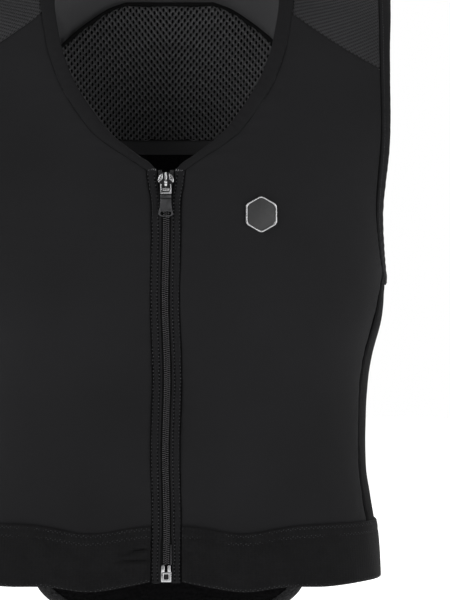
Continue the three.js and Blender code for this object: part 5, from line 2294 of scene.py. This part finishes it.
@dataclass
class WaistBand:
    """The elastic band over the hems, with its rows of stitches and the small folds by the zip."""

    pattern: Pattern
    finishes: Finishes
    thickness: float = 0.002
    gap: float = 0.00036
    dip: float = 0.007
    dip_centre: float = 0.066
    dip_reach: float = 0.032
    pinch: float = 0.004
    fuller: float = 0.0040
    rise: float = 0.0030
    pinch_reach: float = 0.020
    rows: int = 40
    step: float = 0.0035
    stitch_rows: tuple[float, ...] = (0.055, 0.19, 0.972)
    stitch_pitch: float = 0.0021
    stitch_swing: float = 0.0007
    stitch_size: Sizes = (0.0013, 0.00055, 0.0005)
    hem_sink: float = 0.0011
    row_sink: float = 0.00035
    sunk_reach: float = 0.0011
    swell: float = 0.00035
    gather: float = 0.00016
    gather_pitch: float = 0.0046
    crease_reach: float = 0.0009
    creases: tuple[tuple[float, float, float, float, float], ...] = (
        (-0.0165, -0.035, -0.538, -0.0045, 0.0022), (-0.0165, -0.043, -0.5477, -0.0005, 0.0018),
        (0.0165, 0.030, -0.528, -0.001, 0.0009), (0.0165, 0.026, -0.540, 0.0, 0.0006),
    )

    def edge(self, angle: Array, share: Array) -> Array:
        """Height in the band by angle and share down it.

        Args:
            angle: angles round the body.
            share: 0 at the top, 1 at the foot.

        Returns:
            Heights.
        """
        line = self.pattern.zip_line
        x = self.pattern.torso.skin_by_angle(angle, np.full(np.shape(angle), line.band_top))[..., 0]
        in_front = np.cos(angle) > 0
        dip = self.dip * np.exp(-(((np.abs(x) - self.dip_centre) / self.dip_reach) ** 2)) * in_front
        pinch = self.pinch * np.exp(-((x / self.pinch_reach) ** 2)) * in_front
        fuller = self.fuller * smooth(np.abs(x), 0.080, 0.135) - self.rise * smooth(x, 0.130, 0.185)
        return line.band_top - dip - share * (line.band_height - pinch + fuller * smooth(np.cos(angle), -0.5, 0.2))

    def angles(self, count: int) -> Array:
        """Angles round the band, evenly by length.

        Args:
            count: how many.

        Returns:
            Rising angles.
        """
        line, torso = self.pattern.zip_line, self.pattern.torso
        start_x = float(line.outer_at(line.band_top)) + line.wave / 2 + self.gap
        start = float(torso.angle_of(spots(start_x, line.hem, Face.FRONT)))
        fine = np.linspace(start, math.tau - start, 4000)
        length = run_lengths(torso.skin_by_angle(fine, np.full(fine.shape, line.band_top)))
        return np.interp(np.linspace(0, length[-1], count), length, fine)

    def folds(self, x: Array, z: Array, in_front: Array) -> Array:
        """Small lying folds beside the zip.

        Args:
            x: distances from the middle.
            z: heights.
            in_front: which points lie in front.

        Returns:
            Heights over the band.
        """
        made = np.zeros_like(x)
        for start, end, level, droop, depth in self.creases:
            share = (x - start) / (end - start)
            line = z - level - droop * np.clip(share, 0, 1.2) ** 2
            fade = smooth(share, -0.25, 0.1) * (1 - smooth(share, 0.6, 1.25))
            made -= depth * bell(line, self.crease_reach) * fade
            made += 0.8 * depth * bell(line + 0.0032, 0.0024) * fade + 0.5 * depth * bell(line - 0.0030, 0.0022) * fade
        return made * in_front

    def surface(self, angle: Array, share: Array) -> tuple[Array, Array]:
        """Points and normals of the band's outer face, before its relief."""
        points, normals = self.pattern.torso.by_angle(angle, self.edge(angle, share))
        return points + normals * (self.gap + self.thickness), normals

    def band(self) -> bpy.types.Object:
        """The band itself.

        Returns:
            The band.
        """
        angle = self.angles(int(1.02 / self.step))[None, :]
        share = np.unique(np.concatenate([np.linspace(0, 1, self.rows + 1), [0.008, 0.016, 0.03, 0.97, 0.984, 0.992]]))
        angle, share = np.broadcast_arrays(angle, share[:, None])
        points, normals = self.surface(angle, share)
        run = run_lengths(points[0])
        flat = np.stack(np.broadcast_arrays(run[None], points[..., 2]), -1)
        cloth = Cloth(points, normals, flat)
        _, _, top, bottom = cloth.rims
        x, z, in_front = points[..., 0], points[..., 2], points[..., 1] < 0
        height = self.folds(x, z, in_front) + self.swell * ripple(points, 0.05, 81)
        height -= self.hem_sink * bell(top, self.sunk_reach) + self.hem_sink * bell(bottom, self.sunk_reach)
        for row in self.stitch_rows[:2]:
            height -= self.row_sink * bell((share - row) * self.pattern.zip_line.band_height, self.sunk_reach)
        wave = np.sin(run[None] * math.tau / self.gather_pitch + ripple(points, 0.02, 82, 4))
        height += self.gather * wave * bell(top - 0.006, 0.008)
        shaped = cloth.raised(height)
        mesh = grid_mesh("waist_band_cloth", shaped.points, shaped.flat, shaped.normals)
        piece = add_piece(mesh, (self.finishes.band,), replaces=["waist_band"], sharp=70)
        thicken(piece, self.thickness * 0.9)
        return piece

    def stitches(self) -> bpy.types.Object:
        """The zigzag rows.

        Returns:
            The stitches.
        """
        angle = self.angles(900)
        places = []
        for index, row in enumerate(self.stitch_rows):
            points, normals = self.surface(angle, np.full(angle.shape, row))
            points = points - normals * 0.00022
            found = places_along(points, normals, self.stitch_pitch, 0.5, True, 0.00012, index + 3)
            for count, place in enumerate(found):
                found[count] = place @ Matrix.Translation((0, (-1) ** count * self.stitch_swing, 0))
            places += found
        mesh = copies("band_stitches", bead(self.stitch_size), places)
        return add_piece(mesh, (self.finishes.thread,))

    def build(self) -> None:
        """Builds and dresses the band."""
        self.band()
        self.stitches()


@dataclass
class Zip:
    """The closed zip: coils, tapes, plackets with their stitches, stops, box and pin."""

    pattern: Pattern
    finishes: Finishes
    pitch: float = 0.0018
    loop_size: float = 0.00100
    coil_centre: float = -0.00035
    coil_thick: float = 0.0025
    tape_rear: float = -0.0017
    tape_thick: float = 0.001
    placket_thick: float = 0.0016
    placket_rear: float = -0.0004
    box_half: float = 0.0044
    box_thick: float = 0.0046
    pin_width: float = 0.0009
    pin_thick: float = 0.0013
    stop_height: float = 0.0034
    stop_thick: float = 0.003
    top_room: float = 0.0003
    placket_columns: int = 18
    placket_pitch: float = 0.0062
    placket_pucker: float = 0.00016
    sewn_depth: float = 0.0003
    sewn_reach: float = 0.0007
    outer_row: float = 0.0006
    inner_row: float = 0.0023
    outer_sink: float = 0.0003
    pit_sink: float = 0.00015
    stitch_pitch: float = 0.0031
    stitch_wander: float = 0.00016
    pit_size: Sizes = (0.0020, 0.0014, 0.0010)
    thread_size: Sizes = (0.0012, 0.0008, 0.0011)
    thread_shift: Sizes = (0.00155, 0.0003, 0)
    coil_turn: float = 0.2
    coil_shift: float = 0.41
    coil_near: tuple[float, float] = (-0.26, 1.0)
    coil_far: tuple[float, float] = (0.28, 0.88)
    coil_end: float = 0.36
    coil_core: Sizes = (0.8, 0.6, 0.5)

    @property
    def line(self) -> ZipLine:
        """Where the zip runs."""
        return self.pattern.zip_line

    def _at(self, x: Array, z: Array) -> tuple[Array, Array]:
        """Points and normals of the skin in front, by x and height."""
        return self.pattern.torso.by_angle(self.pattern.torso.angle_of(spots(x, z, Face.FRONT)), z)

    def strip(self, name: str, side: Side, near: Edge, far: Edge, heights: Array, outer: float, columns: int,
              relief: Callable[[Array, Array, Array], Array]) -> tuple[bpy.types.Mesh, Cloth]:
        """A long strip beside the zip's middle line.

        Args:
            name: its name.
            side: which side it is on.
            near: its inner edge by height.
            far: its outer edge by height.
            heights: its rows.
            outer: its outer face's place out of the skin.
            columns: cells across it.
            relief: further height by share across, height and width.

        Returns:
            The mesh and its cloth before relief.
        """
        share = np.linspace(0, 1, columns + 1)[None, :]
        z = heights[:, None]
        across = lerp(near(z), far(z), share)
        x = self.line.wave_at(z) + side.value * across
        x, z = np.broadcast_arrays(x, z)
        points, normals = self._at(x, z)
        cloth = Cloth(points + normals * outer, normals, np.stack([across + 0 * z, z], -1))
        shaped = cloth.raised(relief(share + 0 * z, z, across + 0 * z))
        return grid_mesh(name, shaped.points, shaped.flat, shaped.normals), cloth

    def placket(self, side: Side) -> bpy.types.Object:
        """One placket, rounded at its edges and puckered by its stitches.

        Args:
            side: which side it is on.

        Returns:
            The placket.
        """
        line = self.line
        heights = np.linspace(line.bottom - line.end_rise / 2, line.top - self.top_room, 300)

        def relief(share: Array, z: Array, across: Array) -> Array:
            """Soft edges and small puckers.

            Args:
                share: shares across.
                z: heights.
                across: distances across.

            Returns:
                Heights over the cloth.
            """
            width = line.cloth_at(z) - line.inner_at(z)
            near, far = share * width, (1 - share) * width
            made = -0.0009 * bell(near, 0.0009) - 0.0005 * bell(far, self.sewn_reach)
            made -= self.sewn_depth * bell(far - 0.0020, self.sewn_reach)
            made -= self.sewn_depth * bell(near - 0.0021, self.sewn_reach)
            wave = np.sin(z * math.tau / self.placket_pitch + side.value)
            made += self.placket_pucker * wave * np.sin(share * math.pi)
            return made + 0.0002 * ripple(np.stack([across, 0 * z, z], -1), 0.045, 91 + side.value)

        mesh, cloth = self.strip(f"zip_placket_{side.label}_cloth", side, line.inner_at, line.cloth_at, heights,
                                 self.placket_rear + self.placket_thick, self.placket_columns, relief)
        piece = add_piece(mesh, (self.finishes.zip_cloth,), replaces=[f"zip_placket_{side.label}"], sharp=70)
        thicken(piece, self.placket_thick)
        return piece

    def placket_stitches(self, side: Side) -> bpy.types.Object:
        """The two rows of stitches on one placket.

        Args:
            side: which side they are on.

        Returns:
            The stitches.
        """
        line = self.line
        z = np.linspace(line.bottom, line.top - 0.004, 500)
        outer = self.placket_rear + self.placket_thick
        rows = ((line.cloth_at(z) - self.outer_row, self.outer_sink), (line.inner_at(z) + self.inner_row, 0.0))
        places = []
        for index, (across, sink) in enumerate(rows):
            points, normals = self._at(line.wave_at(z) + side.value * across, z)
            points = points + normals * (outer - self.pit_sink - sink)
            places += places_along(points, normals, self.stitch_pitch, wander=self.stitch_wander, seed=13 + index)
        # Pits: near-black beads that paint the shade in the needle holes; the lighter beads beside them are the thread.
        pits = copies("pits", bead(self.pit_size), places)
        threads = [place @ Matrix.Translation(self.thread_shift) for place in places]
        light = finished(copies("threads", bead(self.thread_size), threads), 1)
        mesh = joined(f"placket_stitches_{side.label}", [pits, light])
        return add_piece(mesh, (self.finishes.dark_thread, self.finishes.thread))

    def tape(self, side: Side) -> bpy.types.Object:
        """One tape, which carries the coil and runs on under the placket.

        Args:
            side: which side it is on.

        Returns:
            The tape.
        """
        line = self.line
        heights = np.linspace(line.coil_foot, line.top, 160)
        mesh, cloth = self.strip(f"zip_tape_{side.label}_cloth", side, lambda z: line.coil_at(z) + 0.0004,
                                 line.cloth_at, heights, self.tape_rear + self.tape_thick, 8,
                                 lambda share, z, across: -0.0002 * bell(share, 0.1))
        # The tape's near-black finish is partly its own black and partly painted shade of the channel beside the coil.
        piece = add_piece(mesh, (self.finishes.zip_tape,), replaces=[f"zip_tape_{side.label}"])
        thicken(piece, self.tape_thick)
        return piece

    def coil(self, side: Side) -> bpy.types.Object:
        """One coil, as a row of its loops; the two sides stand half a pitch apart and meet.

        Args:
            side: which side it is on.

        Returns:
            The coil.
        """
        line = self.line
        top = line.top - self.stop_height - line.coil_gap
        count = int((top - line.coil_foot) / self.pitch)
        places = []
        for index in range(count):
            z = line.coil_foot + (index + 0.5 + 0.25 * side.value) * self.pitch
            middle = float(line.coil_at(z)) + line.coil_width * self.coil_shift - 0.00012
            x = float(line.wave_at(z)) + side.value * middle
            place = self.pattern.torso.frame_on(x, z, Face.FRONT, self.coil_centre)
            places.append(place @ Matrix.Rotation(side.value * self.coil_turn, 4, "Y"))
        parts = []
        for shift, share in (self.coil_near, self.coil_far):
            end = bead((line.coil_width * self.coil_end, self.coil_thick, self.loop_size * share), 8, 5)
            end.transform(Matrix.Translation((shift * line.coil_width * -side.value, 0, 0)))
            parts.append(end)
        wide, thick, high = self.coil_core
        parts.append(bead((line.coil_width * wide, self.coil_thick * thick, self.loop_size * high), 6, 4))
        loop = joined("loop", parts)
        mesh = copies(f"zip_coil_{side.label}_loops", loop, places)
        return add_piece(mesh, (self.finishes.coil,), replaces=[f"zip_coil_{side.label}"], sharp=180)

    def block(self, name: str, x: float, z: float, half: float, height: float, rear: float, thickness: float,
              round_: float, replaces: Sequence[str]) -> bpy.types.Object:
        """A small plated block on the zip.

        Args:
            name: its name.
            x: its middle, across.
            z: its middle, up.
            half: half its width.
            height: its height.
            rear: its rear face's place out of the skin.
            thickness: how thick it is.
            round_: radius of its edges.
            replaces: the frame's nodes that it stands for.

        Returns:
            The block.
        """
        place = self.pattern.torso.frame_on(x, z)
        outline = [(-half, -height / 2), (half, -height / 2), (half, height / 2), (-half, height / 2)]
        mesh = plate_mesh(name, outline, thickness, round_, place @ Matrix.Translation((0, -rear, 0)),
                          corner=min(half, height / 2) * 0.35)
        # The top stops take the near-black recess metal: painted shade over their plating. The pin takes the pull's
        # metal.
        finish = self.finishes.pull if "pin" in name else self.finishes.recess
        return add_piece(mesh, (finish,), replaces=replaces, sharp=50)

    def fittings(self) -> None:
        """Stops, box and pin."""
        line = self.line
        stop_x = float(line.coil_at(line.top)) + line.coil_width / 2
        for side in Side:
            self.block(f"zip_stop_{side.label}_metal", side.value * stop_x, line.top - self.stop_height / 2,
                       line.coil_width / 2, self.stop_height, self.coil_centre - self.stop_thick / 2,
                       self.stop_thick, 0.0006, [f"zip_top_stop_{side.label}"])
        z = line.bottom + line.box_height / 2
        rear = self.coil_centre - self.box_thick / 2
        place = self.pattern.torso.frame_on(0, z) @ Matrix.Translation((0, -rear, 0))
        half, high = self.box_half, line.box_height / 2
        deep = self.box_thick - 0.0005
        low = [(-half, -high), (half, -high), (half * 1.04, high * 0.16), (-half * 1.04, high * 0.16)]
        window = [(-half * 0.46, -high * 0.68), (half * 0.46, -high * 0.68), (half * 0.46, -high * 0.08),
                  (-half * 0.46, -high * 0.08)]
        prong = [(-half, high * 0.1), (-half * 0.3, high * 0.1), (-half * 0.3, high * 0.94), (-half * 0.9, high)]
        meshes = [
            plate_mesh("box", low, deep, 0.0006, place, holes=[window]),
            # The floor seen through the box's window takes the near-black recess metal: painted shade in the hollow.
            finished(plate_mesh("floor", low, deep - 0.0018, 0.0003, place), 1),
            plate_mesh("prong", prong, deep - 0.0006, 0.0004, place),
            plate_mesh("prong", [(-x * 0.92, z) for x, z in reversed(prong)], deep - 0.0010, 0.0004, place),
        ]
        add_piece(joined("zip_box_metal", meshes), (self.finishes.metal, self.finishes.recess),
                  replaces=["zip_box"])
        self.block("zip_pin_metal", line.coil_width + line.coil_gap * 2 + self.pin_width / 2,
                   line.coil_foot + line.pin_height / 2, self.pin_width / 2, line.pin_height, self.placket_rear,
                   self.pin_thick, 0.0003, ["zip_pin"])

    def build(self) -> None:
        """Builds and dresses the zip."""
        for side in Side:
            self.placket(side)
            self.placket_stitches(side)
            self.tape(side)
            self.coil(side)
        self.fittings()


@dataclass
class Slider:
    """The slider with its bridge, and the pull that swings on it."""

    pattern: Pattern
    finishes: Finishes
    half: float = 0.0068
    length: float = 0.019
    plate: float = 0.0013
    front_rear: float = 0.00155
    back_rear: float = -0.00335
    bridge_width: float = 0.0022
    bridge_inner: float = 0.00115
    bridge_outer: float = 0.0024
    pivot_rise: float = 0.00135
    pivot_shift: float = -0.0011
    pull_length: float = 0.028
    pull_half: float = 0.0061
    pull_thick: float = 0.0013

    @property
    def middle(self) -> float:
        """Height of the slider's middle."""
        line = self.pattern.zip_line
        return line.top - 0.0017 - line.coil_gap - self.length / 2

    def place(self, out: float = 0.0, up: float = 0.0) -> Matrix:
        """The slider's own frame, moved out of the cloth and up along it."""
        return self.pattern.torso.frame_on(0, self.middle) @ Matrix.Translation((0, -out, up))

    def outline(self, wide: float) -> list[tuple[float, float]]:
        """Outline of a slider plate, wide at its crown.

        Args:
            wide: its width as a share.

        Returns:
            Corners of x and z.
        """
        half, high = self.half * wide, self.length / 2
        right = [(0.42, -1.0), (0.66, -0.95), (0.74, -0.8), (0.76, -0.35), (0.8, 0.0), (0.98, 0.3), (1.0, 0.5),
                 (0.97, 0.72), (0.84, 0.9), (0.6, 1.0), (0.3, 0.96)]
        return [(x * half, z * high) for x, z in right] + [(-x * half, z * high) for x, z in reversed(right)]

    def body(self) -> bpy.types.Object:
        """The slider's plates, post and bridge.

        Returns:
            The slider.
        """
        high = self.length / 2
        wing = [(0.0027, 0.0034), (0.0034, 0.0026), (0.0050, 0.0016), (0.0056, 0.0003), (0.0068, 0.0010),
                (0.0068, 0.0026), (0.0061, 0.0050), (0.0048, 0.0071), (0.0027, 0.0081)]
        crest = [(-0.0009, 0.0026), (0.0009, 0.0026), (0.0010, 0.0090), (-0.0010, 0.0090)]
        post = [(-0.0009, -high * 0.2), (0.0009, -high * 0.2), (0.0023, high * 0.75), (0.0015, high * 0.92),
                (-0.0015, high * 0.92), (-0.0023, high * 0.75)]
        top = self.front_rear + self.plate
        meshes = [
            plate_mesh("wing", wing, 0.0012, 0.00045, self.place(top - 0.0005), corner=0.0005),
            plate_mesh("wing", [(-x, z) for x, z in reversed(wing)], 0.0012, 0.00045, self.place(top - 0.0005),
                       corner=0.0005),
            plate_mesh("crest", crest, 0.0021, 0.00055, self.place(top - 0.0006)),
            self.button(),
            self.bridge(),
            # Front, rear and post plates take the near-black recess metal: painted shade round the bright wings, crest,
            # button and bridge.
            finished(plate_mesh("front", self.outline(1.0), self.plate, 0.0005, self.place(self.front_rear)), 1),
            finished(plate_mesh("rear", self.outline(0.86), self.plate, 0.0004, self.place(self.back_rear)), 1),
            finished(plate_mesh("post", post, self.front_rear - self.back_rear, 0.0,
                                self.place(self.back_rear + 0.0005)), 1),
        ]
        return add_piece(joined("zip_slider_metal", meshes), (self.finishes.metal, self.finishes.recess),
                         replaces=["zip_slider"])

    def button(self) -> bpy.types.Mesh:
        """The rounded crown of the bridge.

        Returns:
            Its mesh.
        """
        mesh = bead((0.0028, 0.0017, 0.0032), 12, 8)
        mesh.transform(self.place(self.front_rear + self.plate + self.pivot_rise + self.bridge_inner + 0.0007, 0.0002))
        return mesh

    def bridge(self) -> bpy.types.Mesh:
        """The arched bridge that holds the pull.

        Returns:
            Its mesh.
        """
        turns = np.linspace(0, math.pi, 11)
        arch = [(self.bridge_outer, -0.0008)]
        arch += [(self.bridge_outer * math.cos(turn), self.pivot_rise + self.bridge_outer * math.sin(turn))
                 for turn in turns]
        arch += [(-self.bridge_outer, -0.0008), (-self.bridge_inner, -0.0008)]
        arch += [(self.bridge_inner * math.cos(turn), self.pivot_rise + self.bridge_inner * math.sin(turn))
                 for turn in turns[::-1]]
        arch += [(self.bridge_inner, -0.0008)]
        lay = Matrix(((0, -1, 0, -self.bridge_width / 2), (0, 0, -1, 0), (1, 0, 0, 0), (0, 0, 0, 1)))
        return plate_mesh("bridge", arch, self.bridge_width, 0.0003,
                          self.place(self.front_rear + self.plate, self.pivot_shift) @ lay)

    def pull(self) -> bpy.types.Object:
        """The pull: an eye round the bridge, a grooved neck and a flared body with a slot.

        Returns:
            The pull.
        """
        eye_half = self.bridge_width / 2 + 0.00045
        long, half = self.pull_length, self.pull_half
        eye_foot = self.bridge_outer + 0.0009
        rows = [(0.0, 0.70), (0.03, 0.78), (0.22, 0.78), (0.34, 0.77), (0.56, 0.78), (0.74, 0.86), (0.90, 1.0),
                (0.945, 1.0), (0.975, 0.78), (1.0, 0.55)]
        right = [(share * half, -down * long) for down, share in reversed(rows)]
        outline = right + [(0.0034, 0.0006), (-0.0034, 0.0006)] + [(-x, z) for x, z in reversed(right)]
        eye = [(-eye_half, -eye_foot), (eye_half, -eye_foot), (eye_half, -0.0006), (-eye_half, -0.0006)]
        slot = [(-0.0034, -long * 0.968), (0.0034, -long * 0.968), (0.0049, -long * 0.925), (0.0043, -long * 0.845),
                (-0.0043, -long * 0.845), (-0.0049, -long * 0.925)]
        out = self.front_rear + self.plate + self.pivot_rise - self.pull_thick / 2
        place = self.place(out, self.pivot_shift)
        front = place @ Matrix.Translation((0, -self.pull_thick + 0.0004, 0))

        def field(name: str, corners: Sequence[tuple[float, float]], index: int,
                  holes: Sequence[Sequence[tuple[float, float]]] = ()) -> bpy.types.Mesh:
            """A raised field on the pull: each corner is a share of its half width and one of its length.

            Args:
                name: its name.
                corners: its corners.
                index: which finish it has.
                holes: outlines of its holes, in metres.

            Returns:
                Its mesh.
            """
            made = [(x * half, -down * long) for x, down in corners]
            return finished(plate_mesh(name, made, 0.0008, 0.0003, front, holes), index)

        frame = [(-0.70, 0.0), (-0.77, 0.04), (-0.76, 0.30), (0.76, 0.30), (0.77, 0.04), (0.70, 0.0), (0.58, 0.01),
                 (0.63, 0.06), (0.60, 0.245), (-0.60, 0.245), (-0.63, 0.06), (-0.58, 0.01)]
        body = [(-0.46, 0.210), (0.46, 0.210), (0.48, 0.128), (-0.48, 0.128)]
        band = [(-0.74, 0.420), (0.74, 0.420), (0.74, 0.338), (-0.74, 0.338)]
        lower = [(-0.84, 0.800), (0.84, 0.800), (0.74, 0.60), (0.74, 0.465), (-0.74, 0.465), (-0.74, 0.60)]
        ring = [(x / half, -z / long) for x, z in right[:5]]
        ring = ring + [(-x, down) for x, down in reversed(ring)]
        meshes = [
            # The base plate under the raised fields takes recess: painted shade in the grooves between the fields and
            # round the slot.
            finished(plate_mesh("plate", outline, self.pull_thick - 0.0003, 0.0003, place, holes=[eye, slot]), 2),
            field("frame", list(reversed(frame)), 0),
            field("body", body, 0),
            field("band", band, 1),
            field("body", lower, 1),
            field("ring", ring, 1, [slot]),
        ]
        return add_piece(joined("zip_pull_metal", meshes),
                         (self.finishes.metal, self.finishes.pull, self.finishes.recess), Body.PULL,
                         replaces=["zip_pull"])

    def build(self) -> None:
        """Builds and dresses the slider and pull."""
        self.body()
        self.pull()


@dataclass
class Badge:
    """The bare six-sided badge in its raised rim."""

    torso: Torso
    finishes: Finishes
    across: float = 0.081
    drop: float = 0.252
    width: float = 0.027
    height: float = 0.032
    rim: float = 0.0014
    thickness: float = 0.0013
    rise: float = 0.0005
    lift: float = 0.0004
    shoulder: float = 0.52

    def outline(self, inset: float) -> list[tuple[float, float]]:
        """The six corners, drawn in by an inset.

        Args:
            inset: how far it is drawn in.

        Returns:
            Corners of x and z.
        """
        half, high = self.width / 2 - inset, self.height / 2 - inset
        flank = high * self.shoulder
        return [(0, -high), (half, -flank), (half, flank), (0, high), (-half, flank), (-half, -flank)]

    def build(self) -> None:
        """Builds and dresses the plate and its rim."""
        place = self.torso.frame_on(self.across, -self.drop, Face.FRONT) @ Matrix.Translation((0, -self.lift, 0))
        base = plate_mesh("badge_plate", self.outline(self.rim + 0.0002), self.thickness, 0.0003, place, corner=0.0018)
        add_piece(base, (self.finishes.field,), replaces=["badge_base"])
        ring = plate_mesh("badge_ring", self.outline(0), self.thickness + self.rise, 0.00045, place,
                          holes=[self.outline(self.rim)], corner=0.0024)
        add_piece(ring, (self.finishes.metal,), replaces=["badge_rim"])


@dataclass
class Studio:
    """Pale floor, soft light and the camera of the photograph."""

    centre_x: float = 0.0503
    centre_z: float = -0.325
    front: float = -0.116
    distance: float = 2.6
    lens: float = 183.5
    floor: float = -0.70
    front_glow: float = 0.16
    back_glow: float = 0.8

    def build(self) -> None:
        """Builds the floor, lights and camera."""
        scene = bpy.context.scene
        scene.view_settings.view_transform = "Standard"
        camera = bpy.data.objects.new("camera", bpy.data.cameras.new("camera"))
        scene.collection.objects.link(camera)
        camera.location = (self.centre_x, self.front - self.distance, self.centre_z)
        camera.rotation_euler = (QUARTER, 0, 0)
        camera.data.lens = self.lens
        camera.data.sensor_width = 36
        camera.data.clip_start, camera.data.clip_end = 0.05, 60
        scene.camera = camera
        world = bpy.data.worlds.new("studio")
        world.use_nodes = True
        tree = Tree(world.node_tree)
        split = tree.node("ShaderNodeSeparateXYZ")
        tree.join(tree.node("ShaderNodeTexCoord").outputs["Generated"], split.inputs[0])
        around = tree.vary(split.outputs[1], -0.4, 0.8, self.front_glow, self.back_glow)
        seen = tree.node("ShaderNodeLightPath").outputs["Is Camera Ray"]
        backdrop = world.node_tree.nodes["Background"]
        backdrop.inputs["Color"].default_value = (1, 1, 1, 1)
        tree.join(tree.math("MAXIMUM", around, seen), backdrop.inputs["Strength"])
        scene.world = world
        made = bmesh.new()
        bmesh.ops.create_grid(made, x_segments=2, y_segments=2, size=7.0)
        bmesh.ops.translate(made, verts=made.verts, vec=(0, 0, self.floor))
        mesh = bpy.data.meshes.new("floor")
        made.to_mesh(mesh)
        made.free()
        floor = bpy.data.objects.new("floor", mesh)
        scene.collection.objects.link(floor)
        paper, _, shader = begun("pale_paper")
        shader.inputs["Base Color"].default_value = (0.9, 0.9, 0.9, 1)
        shader.inputs["Roughness"].default_value = 0.95
        shader.inputs["Emission Color"].default_value = (1, 1, 1, 1)
        shader.inputs["Emission Strength"].default_value = 0.7
        mesh.materials.append(paper)
        for name, at, size, power, aim in (
            ("key", (-1.9, -1.7, 1.3), 1.5, 40, (0, 0, -0.30)),
            ("fill", (2.0, -1.8, 0.2), 1.4, 26, (0, 0, -0.35)),
            ("rim", (0.4, 1.8, 1.6), 1.4, 22, (0, 0, -0.2)),
        ):
            lamp = bpy.data.lights.new(name, "AREA")
            lamp.size, lamp.energy = size, power
            light = bpy.data.objects.new(name, lamp)
            scene.collection.objects.link(light)
            light.location = at
            light.rotation_euler = (Vector(aim) - Vector(at)).to_track_quat("-Z", "Y").to_euler()


def main() -> None:
    """Builds the vest in order."""
    logging.basicConfig(level=logging.INFO, format="%(name)s %(message)s")
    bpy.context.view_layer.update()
    Studio().build()
    finishes = Finishes.made()
    pattern = Pattern(Torso())
    form = PadForm(pattern)
    Shell(pattern, finishes).build()
    BackPad(form, finishes).build()
    AirMesh(form, finishes).build()
    Bindings(pattern, finishes).build()
    WaistBand(pattern, finishes).build()
    Zip(pattern, finishes).build()
    Slider(pattern, finishes).build()
    Badge(pattern.torso, finishes).build()


if __name__ == "__main__":
    main()
